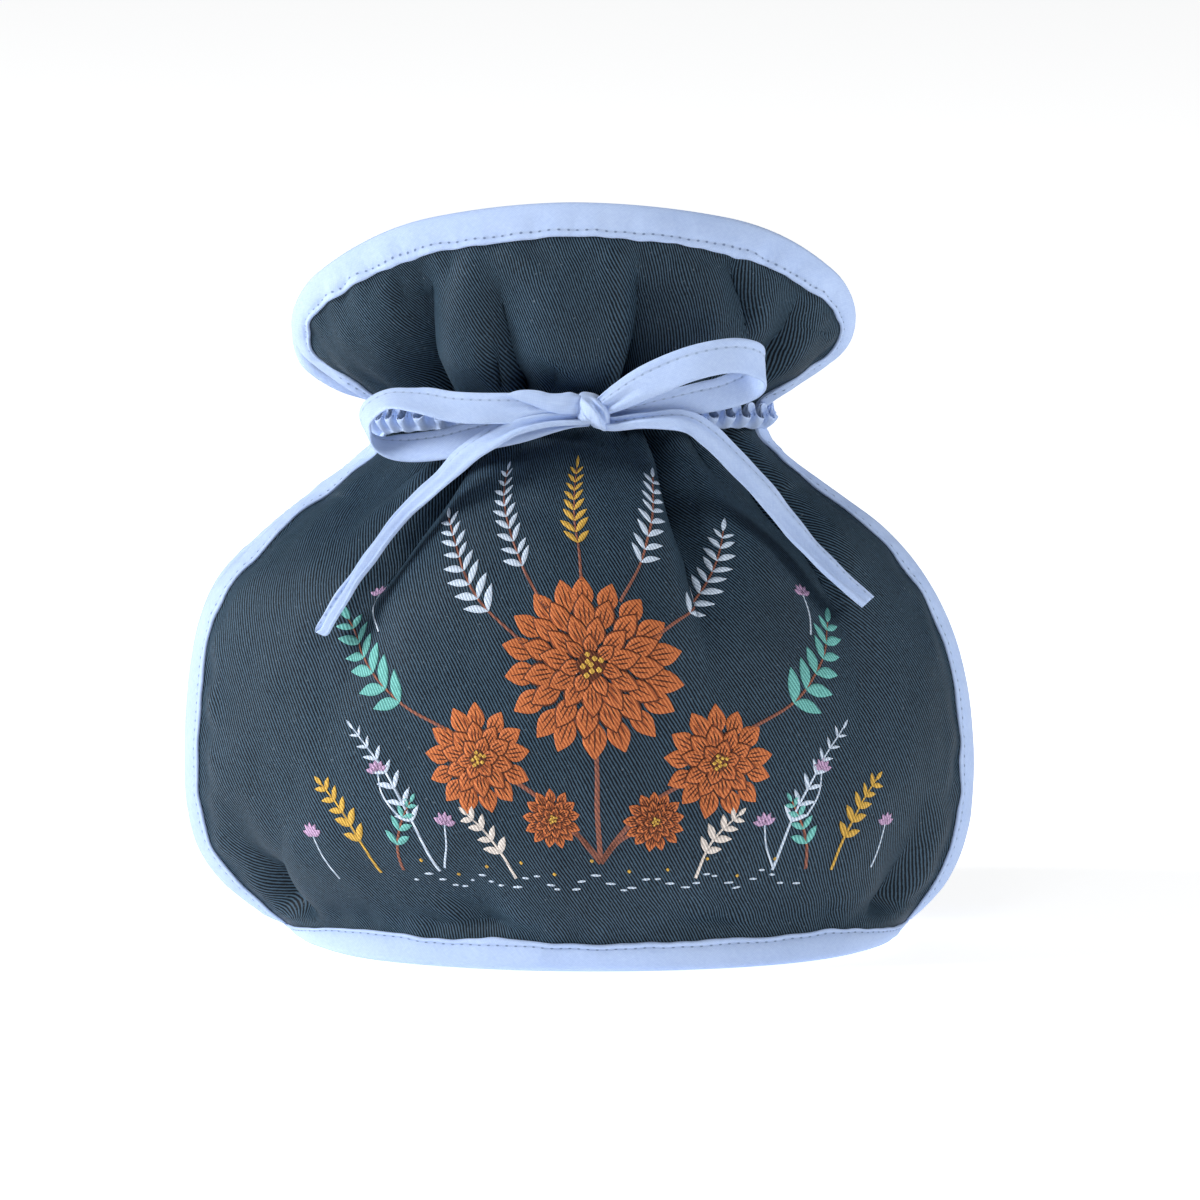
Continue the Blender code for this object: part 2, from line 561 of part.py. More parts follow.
def make_hem_binding(group, samples=31):
    """The binding round the whole foot, which joins the two panels and is flat underneath."""
    rings = []
    shares = np.linspace(-1, 1, samples)
    for side, order in (("front", shares), ("back", shares[::-1])):
        for share in order:
            narrowed = ease((abs(share) - 0.55) / 0.3)
            width = HEM_WIDTH + (HEM_WIDTH_AT_ENDS - HEM_WIDTH) * narrowed
            leaf = (0, width / 2, width)
            place = (share * CLOTH_HALF_WIDTH, 0.0)
            ring = folded_section(*inset(PANELS[side], place, (0.0, 1.0), leaf))
            ring[:, 2] = np.maximum(ring[:, 2], 0.0)
            ring[2:4, 2] = 0.0
            rings.append(ring)
    return loft("hem_binding", group, TRIM, rings, closed=True)


def neck_line(samples=400):
    """The smooth line round the neck, from the front's left over the back to the front's right."""
    front = np.linspace(BAND_REACH - 1, -1, samples) * CLOTH_HALF_WIDTH
    across = np.linspace(-1, 1, 2 * samples) * CLOTH_HALF_WIDTH
    first = smooth_form(PANELS["front"], front, np.full(len(front), NECK))
    middle = smooth_form(PANELS["back"], across, np.full(len(across), NECK))
    last = smooth_form(PANELS["front"], -front[::-1], np.full(len(front), NECK))
    return np.concatenate([first, middle, last]) - (0, 0, BAND_DROP)


def spaced(line, count):
    """The same line at evenly spaced points."""
    run = np.concatenate([[0], np.cumsum(np.linalg.norm(np.diff(line, axis=0), axis=1))])
    at = np.linspace(0, run[-1], count)
    return along(line, run, at), run[-1]


def make_neck_band(group):
    """The ruched tape that holds the elastic round the neck, open at the front for the tie."""
    length = spaced(neck_line(), 2)[1]
    count = int(length / RUCHE) * RUCHE_STEPS + 1
    line = spaced(neck_line(), count)[0]
    # A running mean takes the corners off where the two panels meet.
    for _ in range(3):
        line[1:-1] = (line[:-2] + 2 * line[1:-1] + line[2:]) / 4
    way = np.gradient(line, axis=0)
    out = np.stack([-way[:, 1], way[:, 0], np.zeros(count)], axis=1)
    out /= np.linalg.norm(out, axis=1, keepdims=True)
    out *= np.sign(((line - line.mean(axis=0)) * out).sum(axis=1, keepdims=True))
    clear = EDGE_THICK / 2 + CLEAR + BINDING_THICK + CLEAR + 0.4
    half = BAND_HEIGHT / 2
    rings = []
    for i in range(count):
        wave = math.sin(i * math.tau / RUCHE_STEPS + 0.7)
        crest = wave * (1 + 0.3 * math.sin(i * 0.61))
        # The band's back follows the cloth in to the neck and out again, and its front ripples.
        section = (
            (clear + 1.4, 0.5 - half),
            (clear, -0.2),
            (clear + 1.5, half - 1.4),
            (clear + 3.4 + 1.2 * crest, half + 1.5 * wave),
            (clear + 1.9 + 0.9 * crest, 0.2),
            (clear + 2.5 - 0.5 * wave, 0.3 - half - 0.5 * wave),
        )
        rings.append([line[i] + out[i] * n + np.array([0, 0, z]) for n, z in section])
    return loft("neck_band", group, TRIM, rings)


def tape_rings(rows, count):
    """Rings of a flat tape's section along a run of the tie."""
    table = np.array(rows, float)
    at = np.linspace(0, 1, len(rows))
    where = np.linspace(0, 1, count)
    x, y, z, turn, tip, share = (smooth_between(at, table[:, k], where) for k in range(6))
    line = np.stack([x, y, z], axis=1)
    way = np.gradient(line, axis=0)
    way /= np.linalg.norm(way, axis=1, keepdims=True)
    turn, tip = np.radians(turn), np.radians(tip)
    face = np.stack([-np.sin(turn) * np.cos(tip), -np.cos(turn) * np.cos(tip), np.sin(tip)], axis=1)
    wide = np.cross(way, face)
    wide /= np.linalg.norm(wide, axis=1, keepdims=True)
    face = np.cross(wide, way)
    wide *= TAPE_WIDTH / 2 * share[:, None]
    face *= TAPE_THICK / 2
    return np.stack([line + wide * a + face * b for a, b in ((-1, -1), (1, -1), (1, 1), (-1, 1))], axis=1)


def make_tie(group, cutters):
    """The tape tied in a bow at the front: two loops and two tails, joined in the knot."""
    runs = {
        "left_loop": (LEFT_LOOP, 33),
        "right_loop": (RIGHT_LOOP, 29),
        "left_tail": (LEFT_TAIL, 16),
        "right_tail": (RIGHT_TAIL, 16),
        "left_lead": (LEFT_LEAD, 7),
        "right_lead": (RIGHT_LEAD, 7),
    }
    body = bmesh.new()
    bmesh.ops.create_uvsphere(body, u_segments=14, v_segments=9, radius=1.0)
    size = Matrix.Diagonal((*(reach * MM for reach in KNOT_REACH), 1.0))
    place = Matrix.Translation([c * MM for c in KNOT_MIDDLE]) @ Matrix.Rotation(KNOT_TILT, 4, "Y")
    bmesh.ops.transform(body, matrix=place @ size, verts=body.verts)
    mesh = bpy.data.meshes.new("tie_bow")
    body.to_mesh(mesh)
    body.free()
    knot = bpy.data.objects.new("tie_bow", mesh)
    knot.data.materials.append(cloth_material(TRIM))
    group.objects.link(knot)
    for name, (rows, count) in runs.items():
        run = loft(name, cutters, TRIM, tape_rings(rows, count))
        run.hide_render = True
        run.display_type = "WIRE"
        join = knot.modifiers.new(name, "BOOLEAN")
        join.operation = "UNION"
        join.object = run
    return knot


def main():
    clear_scene()
    cosy = new_collection("tea_cosy")
    cutters = new_collection("joined_runs")
    make_panel("front_panel", "front", cosy)
    make_panel("back_panel", "back", cosy)
    make_edge_binding("front_binding", "front", cosy)
    make_edge_binding("back_binding", "back", cosy)
    make_hem_binding(cosy)
    make_neck_band(cosy)
    make_tie(cosy, cutters)


main()
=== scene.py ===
"""A tea cosy of wadded navy twill, bound in pale blue cotton and tied with a tape bow at its ruched neck."""

import math

import bpy
import numpy as np
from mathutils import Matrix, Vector


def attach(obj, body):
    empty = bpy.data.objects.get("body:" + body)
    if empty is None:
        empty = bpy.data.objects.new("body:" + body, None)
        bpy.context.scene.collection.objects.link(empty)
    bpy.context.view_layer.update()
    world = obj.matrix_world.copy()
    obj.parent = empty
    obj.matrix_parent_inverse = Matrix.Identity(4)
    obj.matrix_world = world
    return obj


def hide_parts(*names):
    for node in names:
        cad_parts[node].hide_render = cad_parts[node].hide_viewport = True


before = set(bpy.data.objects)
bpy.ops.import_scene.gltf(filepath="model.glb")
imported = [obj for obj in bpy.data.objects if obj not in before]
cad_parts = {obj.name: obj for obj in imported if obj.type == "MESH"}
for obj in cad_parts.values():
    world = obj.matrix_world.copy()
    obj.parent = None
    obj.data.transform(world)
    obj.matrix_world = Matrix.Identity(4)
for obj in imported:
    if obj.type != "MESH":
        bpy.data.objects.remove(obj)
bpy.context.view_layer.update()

# ---- The studio -------------------------------------------------------------------------------------
# A white table top under soft light that comes mostly from the left and above. The camera stands a long
# way off at nine degrees above the table, so the lines stay nearly parallel.
MM = 0.001
CAMERA_RISE = math.radians(9)
CAMERA_AWAY = 6.0
FRAME_WIDTH = 0.318
SENSOR = 36.0
LOOKED_AT = Vector((5.96, 0, 88.2)) * MM

camera = bpy.data.objects.new("camera", bpy.data.cameras.new("camera"))
bpy.context.scene.collection.objects.link(camera)
bpy.context.scene.camera = camera
backward = Vector((0, -math.cos(CAMERA_RISE), math.sin(CAMERA_RISE)))
camera.location = LOOKED_AT + backward * CAMERA_AWAY
camera.rotation_mode = "QUATERNION"
camera.rotation_quaternion = (-backward).to_track_quat("-Z", "Y")
camera.data.sensor_width = SENSOR
camera.data.lens = SENSOR * CAMERA_AWAY / FRAME_WIDTH
camera.data.clip_end = 60
bpy.context.scene.view_settings.view_transform = "Standard"

# Softboxes: where each stands, its size across and its power in watts.
SOFTBOXES = {
    "key": ((-2.0, -0.40, 1.15), 0.8, 58.0),
    "fill": ((1.9, -0.65, 1.2), 0.8, 23.0),
    "front": ((-0.5, -2.3, 1.7), 0.8, 5.0),
}
for name, (place, across, power) in SOFTBOXES.items():
    light = bpy.data.lights.new(name, "AREA")
    light.shape, light.size, light.energy = "DISK", across, power
    box = bpy.data.objects.new(name, light)
    box.location = place
    box.rotation_mode = "QUATERNION"
    box.rotation_quaternion = (LOOKED_AT - Vector(place)).to_track_quat("-Z", "Y")
    bpy.context.scene.collection.objects.link(box)
sky = bpy.data.worlds.new("studio")
sky.use_nodes = True
sky.node_tree.nodes["Background"].inputs["Color"].default_value = (0.93, 0.97, 1.0, 1)
sky.node_tree.nodes["Background"].inputs["Strength"].default_value = 0.12
bpy.context.scene.world = sky

TABLE_REACH = 12.0
table = bpy.data.objects.new("table", bpy.data.meshes.new("table"))
corners = [(x * TABLE_REACH, y * TABLE_REACH, 0) for x, y in ((-1, -1), (1, -1), (1, 1), (-1, 1))]
table.data.from_pydata(corners, [], [(0, 1, 2, 3)])
bpy.context.scene.collection.objects.link(table)
white = bpy.data.materials.new("table_white")
white.use_nodes = True
shader = white.node_tree.nodes["Principled BSDF"]
shader.inputs["Base Color"].default_value = (0.9, 0.9, 0.9, 1)
shader.inputs["Roughness"].default_value = 0.8
shader.inputs["Specular IOR Level"].default_value = 0.1
shader.inputs["Emission Color"].default_value = (1, 1, 1, 1)
shader.inputs["Emission Strength"].default_value = 0.65
table.data.materials.append(white)

# ---- The front panel --------------------------------------------------------------------------------
# One piece of navy cotton twill over wadding and a backing cloth. It is cut 276 mm wide and 235 mm high
# with the two upper corners rounded, and pleats form where the neck draws it in. Lengths in millimetres.
HALF_WIDTH = 138.0
HEIGHT = 235.0
NECK = 172.0
CORNER_ACROSS, CORNER_UP = 84.0, 45.0
PAD_THICK = 4.4
EDGE_THICK = 2.0
BINDING_WIDTH = 8.3
HEM_WIDTH = 6.8
# Up the cloth; heights at the middle, left and right; x at left and right; how far the middle stands out;
# half of the side gap at left and right; the angle that each half wraps round; how boxy the wrap is.
FRONT_SECTIONS = (
    (0, 1.5, 1.5, 1.5, -73.2, 83.4, 67.6, 2.0, 2.0, 82, 84, 0.66),
    (3, 4.5, 2.9, 3.4, -76.2, 85.9, 67.9, 2.2, 2.2, 74, 80, 0.72),
    (7, 8.2, 4.8, 6.0, -79.8, 89.0, 68.6, 2.5, 2.6, 64, 74, 0.82),
    (12, 12.6, 7.2, 9.4, -84.2, 92.7, 70.4, 2.8, 3.0, 57, 69, 0.93),
    (18, 18.0, 10.6, 13.8, -89.2, 96.5, 72.8, 3.0, 3.6, 53, 66, 1),
    (25, 24.2, 15.2, 20.0, -94.2, 99.7, 75.2, 3.4, 4.8, 52, 64, 1),
    (34, 32.6, 22.6, 28.3, -99.2, 102.2, 77.8, 4.0, 6.4, 54, 65, 1),
    (46, 44.0, 33.8, 39.4, -102.2, 103.4, 80.4, 5.0, 8.4, 56, 67, 1),
    (60, 57.4, 46.4, 51.2, -102.8, 103.4, 82.0, 6.4, 9.0, 58, 68, 1),
    (76, 72.4, 61.2, 67.4, -102.3, 101.6, 81.8, 8.0, 8.4, 58, 68, 1),
    (92, 87.0, 76.8, 82.8, -100.4, 97.2, 79.0, 10.4, 8.2, 59, 68, 1),
    (108, 100.2, 91.8, 97.2, -95.4, 89.4, 73.0, 12.8, 8.8, 61, 69, 1),
    (122, 110.6, 102.4, 107.8, -86.0, 80.0, 65.0, 12.6, 8.4, 64, 71, 1),
    (134, 118.8, 110.6, 114.8, -77.0, 70.4, 57.0, 8.6, 6.4, 68, 74, 1),
    (144, 125.4, 116.6, 120.6, -68.2, 62.0, 50.4, 5.4, 4.6, 72, 77, 1),
    (151, 130.0, 120.8, 124.6, -61.6, 56.4, 46.0, 4.0, 3.8, 76, 79, 1),
    (158, 134.4, 125.6, 128.8, -55.4, 51.6, 42.0, 3.4, 3.4, 78, 80, 1),
    (165, 138.8, 131.4, 133.4, -51.6, 48.4, 38.8, 3.4, 3.4, 78, 80, 1),
    (172, 143.6, 137.4, 138.0, -50.2, 46.8, 37.0, 3.4, 3.4, 78, 80, 1),
    (177, 147.6, 142.0, 142.4, -53.0, 49.8, 38.4, 3.4, 3.4, 77, 79, 1),
    (183, 152.6, 146.8, 147.0, -60.0, 56.4, 42.0, 4.0, 4.0, 69, 76, 1),
    (190, 158.8, 152.0, 151.8, -67.4, 63.4, 45.6, 4.6, 4.6, 63, 73, 1),
    (201, 168.6, 158.2, 158.0, -73.8, 70.8, 47.6, 5.2, 5.2, 61, 72, 1),
    (212, 178.6, 165.0, 164.8, -77.4, 74.6, 47.0, 5.6, 5.6, 60, 72, 1),
    (222, 187.6, 170.6, 170.4, -78.8, 76.2, 45.0, 6.0, 6.0, 60, 72, 1),
    (229, 193.8, 172.0, 171.8, -80.0, 77.4, 43.4, 6.0, 6.0, 60, 72, 1),
    (235, 199.1, 171.6, 171.4, -82.0, 80.0, 41.6, 6.0, 6.0, 60, 72, 1),
)
# Pleats: where each crosses the neck; its depth, run and drift below the neck, then above; its two flanks.
FRONT_PLEATS = (
    (-0.82, 4.0, 30, -0.02, 4.2, 30, -0.03, 11, 10),
    (-0.56, 6.4, 50, -0.08, 13.5, 84, 0.25, 13, 8),
    (-0.36, 11.5, 96, -0.17, 2.4, 16, 0.00, 9, 8),
    (-0.18, 3.4, 26, 0.00, 8.6, 50, -0.04, 5, 8),
    (0.02, 3.0, 16, 0.00, 3.6, 16, 0.00, 7, 7),
    (0.20, 3.2, 18, 0.02, 12.0, 76, -0.05, 4, 14),
    (0.33, 14.5, 86, -0.05, 3.4, 22, 0.04, 4, 14),
    (0.52, 5.0, 40, 0.04, 4.2, 30, 0.00, 7, 8),
    (0.74, 11.0, 100, -0.13, 8.4, 60, -0.10, 13, 5),
    (0.88, 4.0, 30, 0.02, 3.8, 36, 0.00, 11, 11),
)
# Pinches at the hem: where each is, its depth, how far up it runs, and its two flanks.
FRONT_PINCHES = (
    (-0.85, 12.0, 44, 11, 6),
    (-0.27, 4.8, 30, 14, 8),
    (0.30, 2.4, 22, 14, 14),
    (0.80, 7.0, 46, 9, 16),
)
# Small creases: depth, left and right flank, and the flat points that each runs through.
FRONT_CREASES = (
    (2.4, 5, 3, (-96, 40), (-104, 30), (-116, 18), (-124, 10)),
    (0.9, 6, 6, (-98, 156), (-95, 140), (-91, 124)),
    (1.1, 3, 4, (-50, 163), (-52, 156), (-54, 147)),
    (0.9, 3, 3, (-38, 164), (-39, 158), (-41, 151)),
    (6.4, 9, 5, (58, 224), (65, 214), (71, 206), (75, 198)),
    (1.0, 3, 4, (-71, 222), (-74, 214), (-78, 206)),
    (1.0, 3, 3, (-62, 224), (-65, 216), (-68, 210)),
    (0.9, 4, 3, (-47, 225), (-49, 218), (-51, 208)),
    (2.2, 3, 5, (-36, 176), (-36, 186), (-35, 196)),
    (2.6, 6, 5, (-12, 176), (-8, 182), (-4, 189)),
    (1.2, 4, 4, (20, 176), (22, 184), (21, 193)),
    (1.2, 4, 4, (96, 178), (101, 186), (104, 194)),
    (1.0, 5, 5, (60, 164), (62, 154), (60, 140)),
    (0.8, 5, 5, (14, 164), (13, 156), (15, 146)),
)


def smooth_between(at, values, where):
    """Values on a smooth curve through a table's rows, carried straight on past its ends."""
    slopes = np.gradient(values, at)
    asked = where
    where = np.clip(where, at[0], at[-1])
    beyond = (asked - where) * np.where(asked < where, slopes[0], slopes[-1])
    k = np.clip(np.searchsorted(at, where, side="right") - 1, 0, len(at) - 2)
    step = at[k + 1] - at[k]
    t = (where - at[k]) / step
    through = values[k] * (1 + 2 * t) * (1 - t) ** 2 + values[k + 1] * t * t * (3 - 2 * t)
    bend = slopes[k] * t * (1 - t) ** 2 - slopes[k + 1] * t * t * (1 - t)
    return beyond + through + step * bend


def ease(t):
    """A smooth step from 0 to 1."""
    t = np.clip(t, 0, 1)
    return t * t * (3 - 2 * t)


def hill(distance, width):
    """A smooth hump, one high at no distance and nearly gone at twice its width."""
    return np.exp(-((distance / width) ** 2))


def distance_along(points):
    """How far each point lies along a line of points, or along many such lines side by side."""
    steps = np.linalg.norm(np.diff(points, axis=0), axis=-1)
    return np.concatenate([np.zeros_like(steps[:1]), np.cumsum(steps, axis=0)])


def ripple(x, y, size, seed):
    """Soft uneven waves of about one size, mostly between -1 and 1, and the same every time."""
    draw = np.random.default_rng(seed)
    ways, lengths, starts = draw.uniform(0, np.pi, 9), draw.uniform(0.7, 1.5, 9), draw.uniform(0, 6, 9)
    total = np.zeros(np.broadcast(x, y).shape)
    for way, length, start in zip(ways, lengths, starts):
        total = total + np.sin((x * np.cos(way) + y * np.sin(way)) * 2 * np.pi / (size * length) + start)
    return total / 3.2


def corner_top(x):
    """How far up the flat cloth reaches at x across it."""
    inside = np.clip((np.abs(x) - (HALF_WIDTH - CORNER_ACROSS)) / CORNER_ACROSS, 0, 1)
    return HEIGHT - CORNER_UP * (1 - np.sqrt(1 - inside**2))


def valley(distance, left, right):
    """The section of a fold: one deep at its line, and fading over a flank on each side of it."""
    t = np.abs(distance) / np.where(distance < 0, left, right)
    return np.exp(-(t**1.5))


def smooth_form(panel, x, up):
    """The cloth's form before its folds, at flat places x across and up."""
    rows, *columns = np.array(panel["sections"], float).T
    (z_mid, z_left, z_right, x_left, x_right, depth, gap_left, gap_right, wrap_left, wrap_right, boxy) = (
        smooth_between(rows, column, up) for column in columns
    )
    share, left = np.abs(x) / HALF_WIDTH, x < 0
    wrap = np.radians(np.where(left, wrap_left, wrap_right))
    gap = np.where(left, gap_left, gap_right)
    z_side = np.where(left, z_left, z_right)
    out = np.clip((np.cos(share * wrap) - np.cos(wrap)) / (1 - np.cos(wrap)), 1e-4, 1) ** boxy
    across = np.sign(x) * (x_right - x_left) / 2 * np.sin(share * wrap) / np.sin(wrap)
    # How late a row of the cloth drops from its middle to its sides: a little sooner near the collar's rim.
    late = 2.2 - 0.35 * ease((up - 201) / 30)
    middle, forward = (x_left + x_right) / 2, panel["facing"] * (gap + (depth - gap) * out)
    return np.stack([middle + across, forward, z_mid + (z_side - z_mid) * share**late], axis=-1)


PLEAT_BLEND = 8.0  # this far from the neck a pleat has its own depth below or above it
PLEAT_FADE = 1.3  # a pleat has gone at this many times its run
PLEAT_SPREAD = 0.55  # its flanks are wider by this share after one run


def pleat_depth(row, share, up):
    """How far one pleat sinks the cloth."""
    at, depth_down, run_down, move_down, depth_up, run_up, move_up, left, right = row
    below, away = up < NECK, np.abs(up - NECK)
    run, move = np.where(below, run_down, run_up), np.where(below, move_down, move_up)
    deepest = max(depth_down, depth_up)
    depth = deepest + (np.where(below, depth_down, depth_up) - deepest) * ease(away / PLEAT_BLEND)
    gone = np.clip(away / run, 0, PLEAT_FADE)
    across = (share - at - move * np.clip(gone, 0, 1)) * HALF_WIDTH
    wider = 1 + PLEAT_SPREAD * gone
    return depth * (1 - ease(gone / PLEAT_FADE)) * valley(across, left * wider, right * wider)


PINCH_START = 5.0  # a pinch has its full depth this far over the hem binding
PINCH_SPREAD = 0.8  # its flanks are wider by this share at the end of its run


def pinch_depth(row, share, up):
    """How far one pinch sinks the cloth, from the hem binding upwards."""
    at, depth, run, left, right = row
    rise = up - HEM_WIDTH
    wider = 1 + PINCH_SPREAD * np.clip(rise / run, 0, 1)
    strength = ease(rise / PINCH_START) * (1 - ease((rise - PINCH_START) / run))
    return depth * strength * valley((share - at) * HALF_WIDTH, left * wider, right * wider)


def nearest_on(line, x, up):
    """How far each place is off the nearest point of a flat line, and how many steps along it that is."""
    found = np.full((3, *np.shape(x)), 1e9)
    for k, (start, step) in enumerate(zip(line, np.diff(line, axis=0))):
        t = np.clip(((x - start[0]) * step[0] + (up - start[1]) * step[1]) / (step @ step), 0, 1)
        here = np.stack([x - start[0] - t * step[0], up - start[1] - t * step[1], k + t])
        found = np.where(np.hypot(*here[:2]) < np.hypot(*found[:2]), here, found)
    return found


def crease_depth(row, x, up):
    """A small crease along a line of flat points, fading towards both of its ends."""
    depth, left, right, *line = row
    line = np.array(line, float)
    dx, dy, steps = nearest_on(line, x, up)
    run = distance_along(line)
    along = np.interp(steps, np.arange(len(line)), run / run[-1])
    fading = np.sin(np.pi * np.clip(along * 0.9 + 0.05, 0, 1)) ** 0.8
    return depth * fading * valley(np.sign(dx) * np.hypot(dx, dy), left, right)


def fold_depth(panel, x, up):
    """How far all the folds sink the cloth, held flat along its bindings."""
    share = x / HALF_WIDTH
    sunk = sum(pleat_depth(row, share, up) for row in panel["pleats"])
    sunk = sunk + sum(pinch_depth(row, share, up) for row in panel["pinches"])
    # The stiff edges hold a margin of each side flat, a wider one beside the neck, and a margin of the rim.
    from_side, from_top = HALF_WIDTH - np.abs(x), corner_top(x) - up
    margin = np.where(np.abs(up - NECK) < 30, 20, 10)
    held = ease((from_side - margin) / 19) * ease((from_top - BINDING_WIDTH) / 16)
    sunk = sunk * held
    from_edge = np.minimum(np.minimum(from_side, from_top), up)
    loose = ease((from_edge - BINDING_WIDTH - 0.2) / 6)
    for row in panel["creases"]:
        sunk = sunk + crease_depth(row, x, up) * loose
    # The wadding's own unevenness, and the puckers that the stitching of the bindings leaves beside them.
    sunk = sunk + loose * (0.34 * ripple(x, up, 30, 3) + 0.16 * ripple(x, up, 12, 5))
    beside = hill(from_edge - 13, 6)
    return sunk + 0.42 * beside * ripple(x * 1.1, up * 1.1, 15, 8)


def unit(vectors):
    return vectors / np.linalg.norm(vectors, axis=-1, keepdims=True)


def normal_of(form, x, up, step=0.6):
    """Unit normals of a form, from how it runs over a small step each way."""
    across = form(x + step, up) - form(x - step, up)
    along = form(x, up + step) - form(x, up - step)
    return unit(np.cross(across, along))


def cloth(panel, x, up):
    """The middle of the cloth's thickness, with its folds."""
    smooth = normal_of(lambda x, up: smooth_form(panel, x, up), x, up) * -panel["facing"]
    return smooth_form(panel, x, up) - smooth * fold_depth(panel, x, up)[..., None]


def cloth_normal(panel, x, up):
    return normal_of(lambda x, up: cloth(panel, x, up), x, up) * -panel["facing"]


def padding(points, up):
    """The thickness of a grid of cloth: pressed flat at its bindings and at the neck, and full between."""
    turned = points.transpose(1, 0, 2)
    from_side = np.minimum(distance_along(points), distance_along(points[::-1])[::-1])
    from_end = np.minimum(distance_along(turned).T, distance_along(turned[::-1])[::-1].T)
    from_edge = from_side * from_end / np.maximum(np.hypot(from_side, from_end), 0.01)
    # The wadding fills out over 8 mm from a binding's inner edge, and over 13 mm from the neck's gathers.
    full = ease((from_edge - BINDING_WIDTH - 0.6) / 8) * ease((np.abs(up - NECK) - 4) / 13)
    return EDGE_THICK + (PAD_THICK - EDGE_THICK) * full


def make_piece(name, points, faces, place, material):
    """A smooth-shaded mesh from points in millimetres, with each point's place on its own flat cloth."""
    mesh = bpy.data.meshes.new(name)
    mesh.from_pydata((np.asarray(points, float) * MM).tolist(), [], faces)
    flat = mesh.attributes.new("flat_place", "FLOAT_VECTOR", "POINT")
    flat.data.foreach_set("vector", np.asarray(place, np.float32).ravel())
    mesh.materials.append(material)
    mesh.shade_smooth()
    piece = bpy.data.objects.new(name, mesh)
    bpy.context.scene.collection.objects.link(piece)
    return piece


def slab_faces(across, up, turned):
    """Faces of a closed slab whose outer and inner grids of points follow each other."""
    index = np.arange(across * up).reshape(across, up)
    outer = np.stack([index[:-1, :-1], index[1:, :-1], index[1:, 1:], index[:-1, 1:]], axis=-1).reshape(-1, 4)
    rim = np.concatenate([index[:, 0], index[-1, 1:], index[-2::-1, -1], index[0, -2:0:-1]])
    after, under = np.roll(rim, -1), across * up
    sides = np.stack([rim, rim + under, after + under, after], axis=1)
    faces = np.concatenate([outer, outer[:, ::-1] + under, sides])
    return (faces[:, ::-1] if turned else faces).tolist()


def panel_grid(columns, rows):
    """Flat places spread over a panel's cut, a little closer at its sides."""
    across = np.linspace(-1, 1, columns)
    across = HALF_WIDTH * (across + 0.06 * np.sin(np.pi * across))
    x, row = np.meshgrid(across, np.linspace(0, HEIGHT, rows), indexing="ij")
    return x, np.where(row > NECK, NECK + (row - NECK) * (corner_top(x) - NECK) / (HEIGHT - NECK), row)


INNER_FACE = np.array((0, 0, 50))  # keeps the slubs and lint inside a panel apart from those outside


def make_panel(name, panel, columns, rows, material):
    """A panel's padded cloth, as one closed slab."""
    x, up = panel_grid(columns, rows)
    middle, normal = cloth(panel, x, up), cloth_normal(panel, x, up)
    half = normal * padding(middle, up)[..., None] / 2
    points = np.stack([middle + half, middle - half]).reshape(-1, 3)
    place = np.stack([x, up, np.zeros_like(x)], axis=-1)
    places = np.stack([place, place + INNER_FACE]).reshape(-1, 3)
    return make_piece(name, points, slab_faces(columns, rows, panel["facing"] > 0), places, material)


def add_node(tree, kind, inputs=None, **settings):
    """A shader node with its settings, its values and its links."""
    made = tree.nodes.new(kind)
    for key, value in settings.items():
        setattr(made, key, value)
    for key, value in (inputs or {}).items():
        if isinstance(value, bpy.types.NodeSocket):
            tree.links.new(value, made.inputs[key])
        else:
            made.inputs[key].default_value = value
    return made


def maths(tree, operation, *values, clamp=False):
    made = add_node(tree, "ShaderNodeMath", dict(enumerate(values)), operation=operation, use_clamp=clamp)
    return made.outputs[0]


def blend_colours(tree, share, first, second, kind="MIX"):
    made = add_node(tree, "ShaderNodeMix", data_type="RGBA", blend_type=kind)
    for socket, value in (("Factor_Float", share), ("A_Color", first), ("B_Color", second)):
        target = next(s for s in made.inputs if s.identifier == socket)
        if isinstance(value, bpy.types.NodeSocket):
            tree.links.new(value, target)
        else:
            target.default_value = value if isinstance(value, (int, float)) else (*value, 1)
    return next(s for s in made.outputs if s.identifier == "Result_Color")


def threads(tree, vector, apart, distortion, detail, detail_scale, bands="X"):
    """Soft parallel bands, so many millimetres apart and somewhat uneven: ribs, yarns or threads."""
    values = {"Distortion": distortion, "Detail": detail, "Detail Scale": detail_scale}
    values.update({"Vector": vector, "Scale": math.tau / 20 / apart})
    return add_node(tree, "ShaderNodeTexWave", values, bands_direction=bands).outputs["Fac"]


def noise(tree, vector, scale, detail, stretch=(1, 1, 1)):
    """Soft noise, drawn out along each axis whose number in stretch is small."""
    vector = add_node(tree, "ShaderNodeMapping", {"Vector": vector, "Scale": stretch}).outputs[0]
    values = {"Vector": vector, "Scale": scale, "Detail": detail}
    return add_node(tree, "ShaderNodeTexNoise", values).outputs["Fac"]


def new_cloth_material(name, roughness, gloss):
    """A matt cloth material: its tree, its shader and the places on the flat cloth."""
    material = bpy.data.materials.new(name)
    material.use_nodes = True
    tree = material.node_tree
    shader = tree.nodes["Principled BSDF"]
    shader.inputs["Roughness"].default_value = roughness
    shader.inputs["Specular IOR Level"].default_value = gloss
    place = add_node(tree, "ShaderNodeAttribute", attribute_name="flat_place").outputs["Vector"]
    return material, tree, shader, place


def colour_cloth(tree, shader, colour, height, strength, deep):
    """Gives a cloth's shader its colour and its weave, whose height runs over this many millimetres."""
    tree.links.new(colour, shader.inputs["Base Color"])
    bump = add_node(tree, "ShaderNodeBump", {"Height": height, "Strength": strength, "Distance": deep * MM})
    tree.links.new(bump.outputs[0], shader.inputs["Normal"])


WALE = 0.9  # from one rib of the twill to the next
WALE_TURN = math.radians(-28)  # how far the ribs lean
YARN = 0.52  # from one of the yarns that cross the ribs to the next


